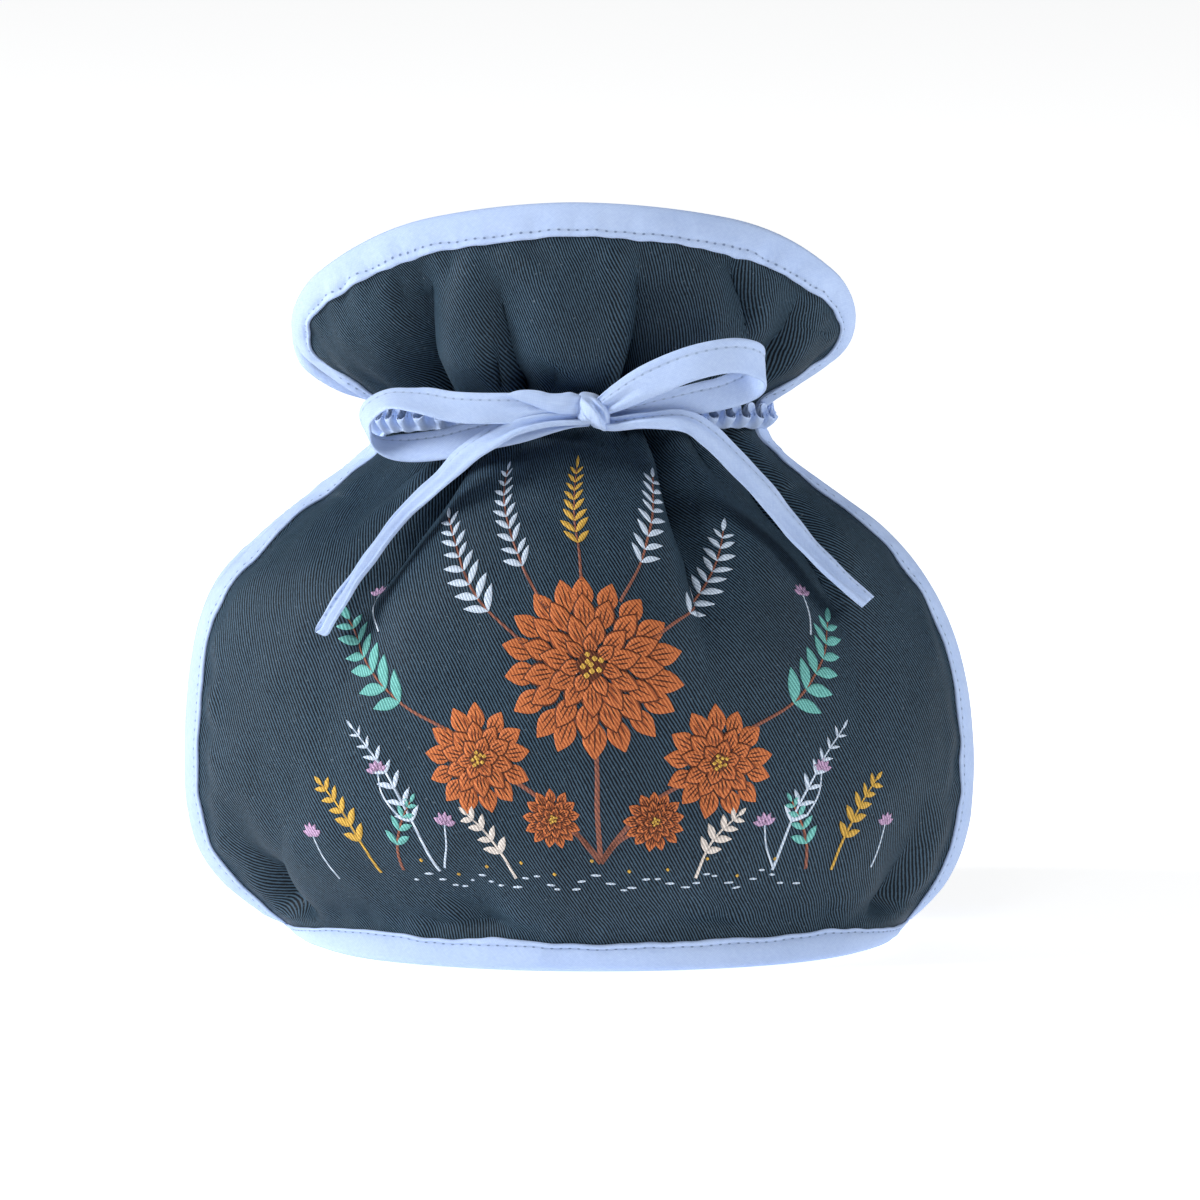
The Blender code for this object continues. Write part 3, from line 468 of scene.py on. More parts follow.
def twill(name, shaded_valley_colour, rib_colour, lint):
    """Left-hand twill: fine steep ribs over valleys darkened with painted shade, broken along their length,
    with a little lint.
    """
    material, tree, shader, place = new_cloth_material(name, 0.55, 0.13)
    turned = add_node(tree, "ShaderNodeMapping", {"Vector": place, "Rotation": (0, 0, WALE_TURN)}).outputs[0]
    ribs = threads(tree, turned, WALE, 0.9, 2.0, 1.4)
    yarns = threads(tree, place, YARN, 1.6, 1.0, 2.0, "Y")
    # Slubs run along the ribs, and each rib is broken into dashes by the yarns that cross it.
    slub = noise(tree, turned, 1.0, 3.0, (1.5, 0.16, 1))
    dashes = noise(tree, turned, 1.0, 1.0, (1.6, 0.75, 1))
    # The share of rib colour: low in the valleys between the ribs, where it stands for painted shade, and
    # varied by the slubs and dashes.
    share = 0.22
    for part, weight in ((ribs, 2.3), (slub, 1.1), (dashes, 1.9)):
        share = maths(tree, "MULTIPLY_ADD", maths(tree, "SUBTRACT", part, 0.5), weight, share)
    share = maths(tree, "MULTIPLY_ADD", yarns, 0.16, share, clamp=True)
    colour = blend_colours(tree, share, shaded_valley_colour, rib_colour)
    dull = maths(tree, "MULTIPLY_ADD", noise(tree, place, 0.035, 3.0), 0.5, 0.75)
    grey = add_node(tree, "ShaderNodeCombineColor", {0: dull, 1: dull, 2: dull}).outputs[0]
    colour = blend_colours(tree, 1.0, colour, grey, "MULTIPLY")
    specks = maths(tree, "SUBTRACT", noise(tree, place, 0.9, 2.0), 0.66, clamp=True)
    specks = maths(tree, "MULTIPLY", specks, 5.0, clamp=True)
    colour = blend_colours(tree, maths(tree, "MULTIPLY", specks, 0.55), colour, lint)
    height = maths(tree, "ADD", ribs, maths(tree, "MULTIPLY", yarns, 0.25))
    colour_cloth(tree, shader, colour, height, 0.6, 0.16)
    return material


# The navy's colour in the twill's valleys, darkened as painted shade; on its ribs, its own; and its lint.
navy_twill = twill("navy_twill", (0.0013, 0.0046, 0.0094), (0.051, 0.095, 0.142), (0.24, 0.30, 0.36))
FRONT = {
    "facing": -1.0,
    "sections": FRONT_SECTIONS,
    "pleats": FRONT_PLEATS,
    "pinches": FRONT_PINCHES,
    "creases": FRONT_CREASES,
}
front = make_panel("front_cloth", FRONT, columns=221, rows=189, material=navy_twill)
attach(front, "root")
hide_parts("front_panel")

# ---- The print --------------------------------------------------------------------------------------
# A posy of dahlias and leafy sprays, screen printed in a few matt inks on the front panel. Each ink is a
# thin skin that follows the cloth's folds, and the twill's ribs show through it.
INK_OVER = 0.10  # how far a skin's outer face lies over the cloth
INK_LAYER = 0.022  # how much higher each layer of ink lies
INK_INSIDE = -0.02  # a skin's inner face lies just inside the cloth
# Each ink's colour in the valleys of the twill, darkened there as painted shade, and on its ribs.
INKS = {
    "terracotta": ((0.34, 0.085, 0.030), (0.66, 0.215, 0.075)),
    "brown": ((0.060, 0.018, 0.010), (0.165, 0.052, 0.026)),
    "bark": ((0.15, 0.055, 0.040), (0.33, 0.135, 0.095)),
    "mustard": ((0.40, 0.235, 0.040), (0.74, 0.46, 0.095)),
    "teal": ((0.090, 0.29, 0.27), (0.20, 0.56, 0.53)),
    "pale": ((0.38, 0.46, 0.58), (0.67, 0.77, 0.90)),
    "lilac": ((0.30, 0.19, 0.32), (0.58, 0.39, 0.60)),
    "cream": ((0.50, 0.45, 0.42), (0.86, 0.79, 0.74)),
}
inked = {ink: [] for ink in INKS}
hand = np.random.default_rng(12)


def stroke(ink, layer, line, widths):
    """One stroke of ink along a smooth line of flat points, with its widths spread evenly along it."""
    # Points lie about 0.9 mm apart along the stroke and 1.1 mm across it.
    line = np.array(line, float)
    run = distance_along(line)
    where = np.linspace(0, run[-1], max(4, int(run[-1] / 0.9) + 2))
    middle = np.stack([smooth_between(run, column, where) for column in line.T], axis=1)
    way = unit(np.gradient(middle, axis=0))
    width = np.interp(where / run[-1], np.linspace(0, 1, len(widths)), widths)
    across = np.linspace(-0.5, 0.5, max(2, int(max(widths) / 1.1) + 2))
    aside = np.stack([way[:, 1], -way[:, 0]], axis=1)[:, None] * across[None, :, None] * width[:, None, None]
    inked[ink].append((layer, middle[:, None] + aside))


def heading(angle):
    """Unit steps ahead and to the left, at an angle in degrees from the cloth's right."""
    turn = math.radians(angle)
    return np.array([math.cos(turn), math.sin(turn)]), np.array([-math.sin(turn), math.cos(turn)])


# Widths along a leaf and across a dot, as shares of the widest.
LEAF_SHAPE = np.array((0.06, 0.5, 0.85, 1, 0.97, 0.78, 0.44, 0.05))
DOT_SHAPE = np.array((0.1, 0.8, 1, 0.8, 0.1))


def leaf(ink, layer, foot, angle, length, width, bend=0.0):
    """A pointed leaf or petal from its foot, at an angle in degrees from the cloth's right."""
    ahead, aside = heading(angle)
    foot = np.array(foot, float)
    line = [foot, foot + ahead * length * 0.5 + aside * bend * length, foot + ahead * length]
    stroke(ink, layer, line, LEAF_SHAPE * width)


def dot(ink, layer, x, up, across):
    stroke(ink, layer, [(x - across / 2, up), (x, up), (x + across / 2, up)], DOT_SHAPE * across)


def dahlia(x, up, radius, rings):
    """A round flower head: rings of petals over one another, each edged and veined in brown."""
    for ring, (count, inner, outer, wide) in enumerate(rings):
        for k in range(count):
            angle = 360 * (k + 0.5 * ring) / count + hand.uniform(-2.5, 2.5) + 8
            ahead, aside = heading(angle)
            foot = np.array([x, up]) + ahead * inner * radius
            length = (outer - inner) * radius * hand.uniform(0.94, 1.05)
            if ring:
                leaf("brown", 3 * ring, foot, angle, length + 0.5, wide * radius + 0.9)
            leaf("terracotta", 3 * ring + 1, foot, angle, length, wide * radius)
            for side, start, end in ((0, 0.12, 0.80), (-0.24, 0.22, 0.60), (0.24, 0.22, 0.60)):
                off = aside * side * wide * radius
                line = [foot + ahead * length * start + off * 0.8, foot + ahead * length * end + off]
                stroke("brown", 3 * ring + 2, line, (0.2, 0.5, 0.15))
    # The eye is a brown disk with nine seeds on a spiral.
    top = 3 * len(rings)
    dot("brown", top, x, up, radius * 0.34)
    for k in range(9):
        turn = k * 2.4
        reach = radius * 0.13 * math.sqrt(k / 8)
        dot("mustard", top + 1, x + reach * math.cos(turn), up + reach * math.sin(turn), radius * 0.055 + 0.3)


def spray(stem, ink, foot, tip, bend, pairs, length, width, spread=48, start=0.25):
    """A stem that bends a little, with pairs of leaves that shorten towards its tip."""
    foot, tip = np.array(foot, float), np.array(tip, float)
    ahead = tip - foot
    aside = np.array([-ahead[1], ahead[0]])
    line = [foot, foot + ahead * 0.35 + aside * bend, foot + ahead * 0.7 + aside * bend * 0.9, tip]
    stroke(stem, 1, line, (0.95, 0.75, 0.6, 0.35))
    shares = np.linspace(0, 1, len(line))
    for k in range(pairs):
        t = start + (0.97 - start) * (k + 0.5) / pairs
        size = (1 - 0.5 * (k / pairs) ** 1.5) * hand.uniform(0.9, 1.08)
        near = np.array([t, t + 0.02])
        here, after = np.stack([smooth_between(shares, column, near) for column in np.array(line).T], axis=1)
        angle = math.degrees(math.atan2(*(after - here)[::-1]))
        for side in (-1, 1):
            turned = angle + side * (spread + hand.uniform(-6, 6))
            leaf(ink, 2, here, turned, length * size, width * size, side * -0.05)
    leaf(ink, 2, tip - unit(ahead) * 0.6, angle, length * 0.62, width * 0.62)


# A head's rings of petals, from the outer one: how many, then where they start and end and how wide they
# are, as shares of the head's radius.
WIDE_HEAD = ((18, 0.60, 1.0, 0.25), (15, 0.40, 0.78, 0.22), (11, 0.20, 0.55, 0.20), (7, 0.10, 0.34, 0.15))
SMALL_HEAD = ((13, 0.48, 1.0, 0.34), (10, 0.24, 0.66, 0.28), (6, 0.08, 0.38, 0.24))
# The stems' common foot, and each head: x, how far up and its radius.
FOOT = (5.0, 33.0)
HEADS = ((5.0, 88.0, 25.5), (-29.0, 62.0, 15.5), (38.5, 60.5, 15.5), (-8.0, 45.5, 8.5), (20.5, 44.5, 8.5))
for x, up, radius in HEADS:
    stroke("bark", 0, [FOOT, ((FOOT[0] * 2 + x) / 3, (FOOT[1] + up) / 2), (x, up)], (1.5, 1.2, 1.1))
    dahlia(x, up, radius, WIDE_HEAD if radius > 20 else SMALL_HEAD)
# Sprays: the stem's ink, the leaves' ink, foot, tip, bend, pairs, leaf length and width.
for row in (
    ("bark", "pale", (-12, 92), (-44, 134), 0.06, 8, 7.6, 2.3),
    ("bark", "pale", (-6, 104), (-27, 150), 0.05, 9, 6.4, 1.9),
    ("bark", "pale", (22, 94), (61, 130), -0.06, 8, 7.6, 2.3),
    ("bark", "pale", (16, 106), (35, 148), -0.05, 8, 6.4, 1.9),
    ("bark", "mustard", (5, 112), (4, 151), 0.02, 8, 6.8, 2.0),
    ("bark", "teal", (-38, 70), (-74, 101), 0.08, 6, 9.0, 3.6),
    ("bark", "teal", (48, 69), (84, 98), -0.08, 6, 9.0, 3.6),
    ("pale", "pale", (-46, 30), (-68, 70), -0.07, 7, 5.6, 1.5),
    ("pale", "pale", (56, 29), (78, 68), 0.07, 7, 5.6, 1.5),
    ("cream", "cream", (-22, 28), (-33, 47), -0.08, 4, 5.2, 2.2),
    ("cream", "cream", (32, 28), (44, 46), 0.08, 4, 5.2, 2.2),
    ("mustard", "mustard", (-66, 29), (-79, 54), -0.08, 5, 5.6, 2.2),
    ("mustard", "mustard", (76, 28), (89, 53), 0.08, 5, 5.6, 2.2),
    ("bark", "teal", (-58, 30), (-50, 50), 0.06, 4, 5.0, 2.0),
    ("bark", "teal", (67, 29), (60, 49), -0.06, 4, 5.0, 2.0),
):
    spray(*row)
# Buds: five short petals on a thin stalk. Each: x, how far up, and how it leans.
BUDS = (
    (-60, 58, 12), (-84, 40, 4), (-40, 44, -8), (70, 57, -10),
    (94, 40, -4), (52, 43, 8), (-66, 110, 10), (78, 107, -8),
)
for x, up, lean in BUDS:
    stroke("pale", 1, [(x + lean * 0.5, up - 13), (x + lean * 0.1, up - 6), (x, up)], (0.6, 0.5, 0.4))
    for k in range(5):
        leaf("lilac", 2, (x, up - 0.4), 90 + (k - 2) * 34 + lean, 3.6, 1.7)
# The ground: short dashes of pale ink, with a row of mustard seeds.
for k in range(34):
    x = -56 + k * 3.6 + hand.uniform(-1, 1)
    up = 26.8 + 1.9 * math.sin(k * 1.3) + hand.uniform(-0.8, 0.8)
    end = (x + hand.uniform(1.6, 3.0), up + hand.uniform(-0.2, 0.2))
    stroke("pale", 1, [(x, up), end], (0.35, 0.75, 0.35))
    if k % 3 == 1:
        dot("mustard", 1, x + 1, up + 4.4 + hand.uniform(-0.6, 0.6), 1.1)

for ink, patches in inked.items():
    # Each patch has its outer grid of points and then its inner one, as many in all as its grid has numbers.
    faces, used = [], 0
    for _, grid in patches:
        faces += (np.array(slab_faces(*grid.shape[:2], False)) + used).tolist()
        used += grid.size
    x, up = np.concatenate([np.tile(grid.reshape(-1, 2), (2, 1)) for _, grid in patches]).T
    over = [np.repeat((INK_OVER + INK_LAYER * layer, INK_INSIDE), grid.size // 2) for layer, grid in patches]
    lift = PAD_THICK / 2 + np.concatenate(over)[:, None]
    points = cloth(FRONT, x, up) + cloth_normal(FRONT, x, up) * lift
    place = np.stack([x, up, np.zeros_like(x)], axis=1)
    skin = make_piece("print_" + ink, points, faces, place, twill("ink_" + ink, *INKS[ink], INKS[ink][1]))
    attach(skin, "root")

# ---- The back panel ---------------------------------------------------------------------------------
# The same cut in the same twill. It stands lower than the front at the collar and has folds of its own.
BACK_SECTIONS = (
    (0, 1.5, 1.5, 1.5, -73.2, 83.4, 67.6, 2.0, 2.0, 82, 84, 0.66),
    (3, 4.5, 2.9, 3.4, -76.2, 85.9, 67.9, 2.2, 2.2, 74, 80, 0.72),
    (7, 8.2, 4.8, 6.0, -79.8, 89.0, 68.6, 2.5, 2.6, 64, 74, 0.82),
    (12, 12.6, 7.2, 9.4, -84.2, 92.7, 70.4, 2.8, 3.0, 62, 71, 0.93),
    (18, 18.0, 10.6, 13.8, -88.4, 95.7, 72.8, 3.0, 3.6, 58, 68, 1),
    (25, 24.2, 15.2, 20.0, -93.4, 98.9, 75.2, 3.4, 4.8, 57, 66, 1),
    (34, 32.6, 22.6, 28.3, -98.4, 101.4, 77.8, 4.0, 6.4, 59, 67, 1),
    (46, 44.0, 33.8, 39.4, -101.4, 102.6, 80.4, 5.0, 8.4, 61, 69, 1),
    (60, 57.4, 46.4, 51.2, -102.4, 102.4, 82.0, 6.4, 9.0, 62, 69, 1),
    (76, 72.4, 61.4, 67.4, -102.2, 100.4, 81.8, 8.0, 8.4, 62, 69, 1),
    (92, 87.0, 77.4, 82.6, -100.0, 95.4, 79.0, 10.4, 8.2, 62, 69, 1),
    (108, 100.2, 90.6, 96.0, -94.6, 86.8, 72.8, 12.8, 8.8, 64, 70, 1),
    (122, 110.6, 100.6, 104.6, -85.4, 76.0, 64.6, 12.6, 8.4, 67, 72, 1),
    (134, 118.8, 108.8, 112.2, -76.0, 67.2, 56.6, 8.6, 6.4, 70, 74, 1),
    (144, 125.4, 115.6, 118.8, -67.6, 60.2, 50.0, 5.4, 4.6, 74, 77, 1),
    (151, 130.0, 120.2, 123.4, -61.2, 55.2, 45.6, 4.0, 3.8, 77, 79, 1),
    (158, 134.4, 125.4, 128.0, -55.4, 50.8, 41.6, 3.4, 3.4, 78, 80, 1),
    (165, 138.6, 131.8, 133.2, -51.8, 48.2, 38.4, 3.4, 3.4, 78, 80, 1),
    (172, 142.6, 137.4, 138.0, -50.2, 46.6, 36.6, 3.4, 3.4, 78, 80, 1),
    (177, 146.2, 141.8, 142.2, -53.6, 49.6, 37.6, 3.4, 3.4, 77, 79, 1),
    (183, 150.4, 144.6, 145.6, -62.0, 56.0, 40.4, 4.0, 4.0, 71, 76, 1),
    (190, 155.2, 148.4, 149.8, -69.0, 62.4, 43.0, 4.6, 4.6, 67, 74, 1),
    (201, 162.2, 154.6, 155.6, -74.2, 69.2, 44.8, 5.2, 5.2, 65, 73, 1),
    (212, 169.0, 160.8, 161.6, -76.8, 72.8, 44.8, 5.6, 5.6, 65, 73, 1),
    (222, 175.4, 165.6, 166.6, -78.0, 74.2, 43.6, 6.0, 6.0, 65, 73, 1),
    (229, 179.8, 167.4, 168.4, -79.0, 75.4, 42.4, 6.0, 6.0, 65, 73, 1),
    (235, 183.8, 167.4, 168.6, -80.6, 77.6, 41.0, 6.0, 6.0, 65, 73, 1),
)
BACK = {
    "facing": 1.0,
    "sections": BACK_SECTIONS,
    "pleats": (
        (-0.78, 4.4, 34, -0.02, 4.0, 28, 0.02, 10, 10),
        (-0.50, 7.4, 70, -0.06, 6.4, 50, 0.06, 12, 10),
        (-0.27, 4.4, 26, 0.02, 4.0, 22, -0.02, 9, 9),
        (-0.05, 8.4, 80, -0.10, 7.6, 60, 0.05, 10, 13),
        (0.20, 4.4, 24, 0.02, 4.0, 20, 0.02, 9, 9),
        (0.42, 8.0, 66, 0.08, 6.4, 46, -0.05, 12, 10),
        (0.64, 5.4, 44, 0.04, 6.8, 54, 0.02, 10, 10),
        (0.81, 4.2, 28, 0.02, 4.0, 26, 0.00, 10, 10),
    ),
    "pinches": (
        (-0.78, 7.0, 46, 14, 10),
        (-0.34, 3.8, 30, 12, 12),
        (0.12, 4.2, 32, 10, 14),
        (0.74, 7.0, 46, 10, 15),
    ),
    "creases": (
        (1.4, 4, 5, (-90, 158), (-86, 144), (-84, 128)),
        (1.4, 4, 4, (-36, 164), (-40, 150), (-38, 136)),
        (1.4, 4, 4, (24, 164), (27, 152), (24, 138)),
        (1.6, 5, 4, (70, 162), (76, 146), (74, 130)),
        (2.2, 4, 5, (-62, 222), (-60, 210), (-64, 198)),
        (2.0, 5, 4, (30, 220), (34, 208), (31, 196)),
        (1.6, 4, 4, (-18, 178), (-16, 188), (-19, 199)),
    ),
}
back = make_panel("back_cloth", BACK, columns=171, rows=147, material=navy_twill)
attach(back, "root")
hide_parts("back_panel")

# ---- The bindings of the sides and the rim ----------------------------------------------------------
# Bias strips of pale blue plain-weave cotton, folded over each panel's edge and sewn through 1.8 mm from
# their turned-in edge, up one side, over the collar's rim and down the other.
STITCH = 2.5  # from one needle hole to the next
STITCH_IN = 1.8  # from a turned-in edge to its line of stitching
UNSEWN = 9.0  # stands for the distance from a line of stitching where none is near
WEAVE = 0.46  # from one thread to the next
# The pale blue cotton's own colour; a deeper blue for its slubs and for painted shade between its threads;
# and the painted shadow in a needle hole.
COTTON, COTTON_SLUBS_AND_SHADE, HOLE_PAINTED_SHADOW = (0.53, 0.65, 0.89), (0.38, 0.50, 0.78), (0.11, 0.16, 0.29)


def plain_weave(name, holes):
    """Plain weave on the bias, with painted shade between its threads and in the groove and needle holes of
    its lines of stitching, the holes' painted shadow of a given strength.
    """
    material, tree, shader, place = new_cloth_material(name, 0.82, 0.08)
    shader.inputs["Sheen Weight"].default_value = 0.12
    shader.inputs["Sheen Roughness"].default_value = 0.45
    shader.inputs["Sheen Tint"].default_value = (0.9, 0.95, 1.0, 1)
    on_bias = (0, 0, math.radians(45))
    turned = add_node(tree, "ShaderNodeMapping", {"Vector": place, "Rotation": on_bias}).outputs[0]
    weave = maths(tree, "MULTIPLY", *(threads(tree, turned, WEAVE, 0.9, 1.0, 1.0, way) for way in "XY"))
    # From painted shade between the threads to the cotton's own colour, varied by its slubs.
    share = maths(tree, "MULTIPLY_ADD", weave, 0.4, -0.7)
    share = maths(tree, "MULTIPLY_ADD", noise(tree, turned, 1.0, 2.0, (1.9, 0.14, 1)), 0.8, share)
    share = maths(tree, "MULTIPLY_ADD", noise(tree, turned, 1.0, 2.0, (0.14, 1.9, 1)), 0.6, share)
    share = maths(tree, "MULTIPLY_ADD", noise(tree, place, 0.06, 2.0), 0.6, share, clamp=True)
    colour = blend_colours(tree, share, COTTON_SLUBS_AND_SHADE, COTTON)
    # The place's first value runs along the stitching, and its third is the distance from it. A stitch lies
    # in a shallow groove between two holes; groove and holes are sunk in the bump and darkened with painted
    # shade.
    parts = add_node(tree, "ShaderNodeSeparateXYZ", {0: place})
    from_line = maths(tree, "ABSOLUTE", parts.outputs[2])
    turn = maths(tree, "FRACT", maths(tree, "DIVIDE", parts.outputs[0], STITCH))
    from_hole = maths(tree, "MULTIPLY", maths(tree, "ABSOLUTE", maths(tree, "SUBTRACT", turn, 0.5)), STITCH)
    along = maths(tree, "POWER", maths(tree, "MULTIPLY", from_hole, 0.62), 2.0)
    away = maths(tree, "SQRT", maths(tree, "ADD", along, maths(tree, "POWER", from_line, 2.0)))
    hole = maths(tree, "SUBTRACT", 1.0, maths(tree, "DIVIDE", away, 0.34), clamp=True)
    hole = maths(tree, "MULTIPLY", hole, 1.8, clamp=True)
    groove = maths(tree, "SUBTRACT", 1.0, maths(tree, "DIVIDE", from_line, 0.5), clamp=True)
    # Painted shade in the stitch groove, then painted shadow in the needle holes.
    groove_shade = tuple(part * 0.6 for part in COTTON)
    colour = blend_colours(tree, maths(tree, "MULTIPLY", groove, 0.35), colour, groove_shade)
    colour = blend_colours(tree, maths(tree, "MULTIPLY", hole, holes), colour, HOLE_PAINTED_SHADOW)
    sunk = maths(tree, "MULTIPLY_ADD", groove, 1.6, maths(tree, "MULTIPLY", hole, 2.0))
    height = maths(tree, "SUBTRACT", maths(tree, "MULTIPLY", weave, 0.5), sunk)
    colour_cloth(tree, shader, colour, height, 0.4, 0.12)
    return material


pale_blue = plain_weave("pale_blue_cotton", 0.85)


def ring_faces(rings, sides, closed):
    """Faces through rings of equally many points, capped at the ends or joined round."""
    index = np.arange(rings * sides).reshape(rings, sides)
    after = np.roll(index, -1, axis=0) if closed else index[1:]
    before = index if closed else index[:-1]
    quads = np.stack([before, np.roll(before, -1, axis=1), np.roll(after, -1, axis=1), after], axis=-1)
    faces = quads.reshape(-1, 4).tolist()
    return faces if closed else [*faces, index[0][::-1].tolist(), index[-1].tolist()]


def make_strip(name, rings, places, material, closed=False):
    """A strip or a roll of folded cloth, skinned over rings of points round it."""
    rings = np.asarray(rings)
    faces = ring_faces(*rings.shape[:2], closed)
    return make_piece(name, rings.reshape(-1, 3), faces, np.reshape(places, (-1, 3)), material)


def edge_frames(panel, places, ways, reach=16.0):
    """Points and normals of the cloth at small steps in from its edge, with each step's real distance."""
    flat = np.linspace(0, reach, 33)
    x, up = places[:, :1] + ways[:, :1] * flat, places[:, 1:] + ways[:, 1:] * flat
    points, normals = cloth(panel, x, up), cloth_normal(panel, x, up)
    return points, normals, distance_along(points.transpose(1, 0, 2)).T, unit(points[:, 1] - points[:, 0])


def spaced_places(panel, line, step):
    """Flat places along a line of the cut, a real step apart on the formed cloth."""
    run = distance_along(cloth(panel, line[:, 0], line[:, 1]))
    at = np.linspace(0, run[-1], int(run[-1] / step) + 1)
    return np.stack([np.interp(at, run, line[:, 0]), np.interp(at, run, line[:, 1])], axis=1), at


# A leaf of the binding: distances in from its turned-in edge, and heights over the cloth's middle.
LEAF = np.array((
    (0, 1.16), (0.12, 1.62), (0.45, 1.84), (1.1, 1.84), (1.5, 1.68), (1.8, 1.56),
    (2.1, 1.68), (2.7, 1.9), (3.7, 2.04), (5.0, 2.08), (6.2, 2.02), (7.4, 1.9),
))
# The fold round the cloth's edge: how far out it reaches, half its thickness and the turns round it.
FOLD_REACH, FOLD_HALF = 1.35, 1.78
FOLD_TURNS = np.radians((78, 55, 32, 10, -10, -32, -55, -78))
UNDER = 1.07  # how far the inner faces lie from the cloth's middle


def binding_section(width, s, lift):
    """Distances in from the cloth's edge and heights over its middle, round one station of a binding."""
    from_turn, height = LEAF.T
    inward = width * (1 - from_turn / BINDING_WIDTH)
    height = height + 0.1 * hill(from_turn - STITCH_IN, 1.3) * math.cos(math.tau * (s / STITCH + 0.5))
    height = height + lift * np.sin(np.pi * np.clip(from_turn / 8, 0, 1))
    fold = np.stack([-FOLD_REACH * np.cos(FOLD_TURNS), FOLD_HALF * np.sin(FOLD_TURNS)], axis=1)
    front = np.stack([inward, height], axis=1)
    back = np.stack([inward, lift * 0.4 - height], axis=1)[::-1]
    inside = np.array([(width - 0.3, UNDER), (width / 2, UNDER), (0, UNDER), (-0.35, UNDER)])
    return np.concatenate([front, fold, back, inside * (1, -1), inside[::-1]])


def lay_section(points, normals, run, inward, section):
    """A section's points in space, from one station's frames."""
    at, height = section[:, 0], section[:, 1]
    inside = np.clip(at, 0, None)
    place = np.stack([np.interp(inside, run, column) for column in points.T], axis=1)
    facing = unit(np.stack([np.interp(inside, run, column) for column in normals.T], axis=1))
    return place + facing * height[:, None] + inward * np.minimum(at, 0)[:, None]


def binding_places(section, s):
    """Flat places of a binding's section: along it, round it, and from its line of stitching."""
    # The inner faces are hidden by the cloth, so they all take one place round the binding.
    shown = 2 * len(LEAF) + len(FOLD_TURNS)
    around = np.full(len(section), 4.0)
    around[:shown] = distance_along(section[:shown])
    from_line = np.full(len(section), UNSEWN)
    from_line[: len(LEAF)] = LEAF[:, 0] - STITCH_IN
    from_line[shown - len(LEAF) : shown] = LEAF[::-1, 0] - STITCH_IN
    return np.stack([np.full(len(section), s), around, from_line], axis=1)


def binding_rings(panel, places, ways, at, widths, lifts, start=0.0):
    """Rings of points round a binding at its stations, and their flat places along the strip from a start."""
    points, normals, run, inward = edge_frames(panel, places, ways)
    rings, flats = [], []
    for k, s in enumerate(at):
        section = binding_section(widths[k], s, lifts[k])
        rings.append(lay_section(points[k], normals[k], run[k], inward[k], section))
        flats.append(binding_places(section, start + s))
    return rings, flats


BINDING_STEP = 0.8  # from one station of a binding to the next
BINDING_FOOT = 5.2  # how far up the cloth a strip's ends lie, inside the hem binding
# Up the collar's sides the strip is narrower: where up the cloth, over what length and by how much.
COLLAR_UP, COLLAR_LENGTH, COLLAR_NARROWS = 208, 17, 2.6


def make_binding(name, panel, seed):
    """The strip up one side of a panel, over its rounded corners and rim and down the other side."""
    inner, shoulder = HALF_WIDTH - CORNER_ACROSS, HEIGHT - CORNER_UP
    turns = np.linspace(0, np.pi / 2, 160)
    side = np.stack([np.full(500, -HALF_WIDTH), np.linspace(BINDING_FOOT, shoulder, 500)], axis=1)
    corner = np.stack([-inner - CORNER_ACROSS * np.cos(turns), shoulder + CORNER_UP * np.sin(turns)], axis=1)
    left = np.vstack([side, corner[1:], [[-1.0, HEIGHT]]])
    places, at = spaced_places(panel, np.vstack([left, left[::-1] * (-1, 1)]), BINDING_STEP)
    x, up = places.T
    across = np.clip((np.abs(x) - inner) / CORNER_ACROSS, 0, 1)
    ways = unit(np.stack([-np.sign(x) * across / CORNER_ACROSS, -np.sqrt(1 - across**2) / CORNER_UP], axis=1))
    widths = BINDING_WIDTH - COLLAR_NARROWS * hill(up - COLLAR_UP, COLLAR_LENGTH)
    widths = widths + 0.22 * ripple(at, 0, 26, seed) + 0.12 * ripple(at, 0, 9, seed + 1)
    lifts = 0.16 * ripple(at, 0, 12, seed + 2) + 0.1 * ripple(at, 0, 5, seed + 3)
    rings, flats = binding_rings(panel, places, ways, at, widths, lifts)
    return make_strip(name, rings, flats, pale_blue), at[-1] * MM


BINDINGS = (("front_bias", FRONT, "front_binding", 21), ("back_bias", BACK, "back_binding", 41))
for name, panel, node, seed in BINDINGS:
    piece, length = make_binding(name, panel, seed)
    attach(piece, "root")
    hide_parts(node)

# ---- The hem binding --------------------------------------------------------------------------------
# The same strip round the foot of both panels, which it joins. The cosy stands on its fold.
HEM_WIDTH_AT_ENDS = 4.6
HEM_JOIN = 4.0  # the strip's length between the panels, at each side
rings, flats, travelled = [], [], 0.0
for panel, way in ((FRONT, 1), (BACK, -1)):
    line = np.stack([way * np.linspace(-HALF_WIDTH, HALF_WIDTH, 900), np.zeros(900)], axis=1)
    places, at = spaced_places(panel, line, BINDING_STEP)
    narrowed = ease((np.abs(places[:, 0]) / HALF_WIDTH - 0.55) / 0.3)
    widths = HEM_WIDTH + (HEM_WIDTH_AT_ENDS - HEM_WIDTH) * narrowed
    widths = widths + 0.35 * ripple(at, 0, 30, 61) * (1 - narrowed) + 0.12 * ripple(at, 0, 9, 62)
    lifts = 0.14 * ripple(at, 0, 13, 63) + 0.08 * ripple(at, 0, 5, 64)
    upward = np.tile([0.0, 1.0], (len(places), 1))
    half_rings, half_flats = binding_rings(panel, places, upward, at, widths, lifts, travelled)
    rings += half_rings
    flats += half_flats
    travelled += at[-1] + HEM_JOIN
rings = np.array(rings)
rings[..., 2] = np.maximum(rings[..., 2], 0)
hem = make_strip("hem_bias", rings, flats, pale_blue, closed=True)
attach(hem, "root")
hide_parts("hem_binding")

# ---- The ruched neck band ---------------------------------------------------------------------------
# A folded cotton tape with elastic run through it, sewn round the neck from one side of the bow round the
# back to the other. The elastic ruches it into deep uneven loops along its upper edge.
LOOP = 5.5  # from one loop to the next along the neck
BAND_END = 0.333  # each end's distance from the front's middle, as a share of the half width
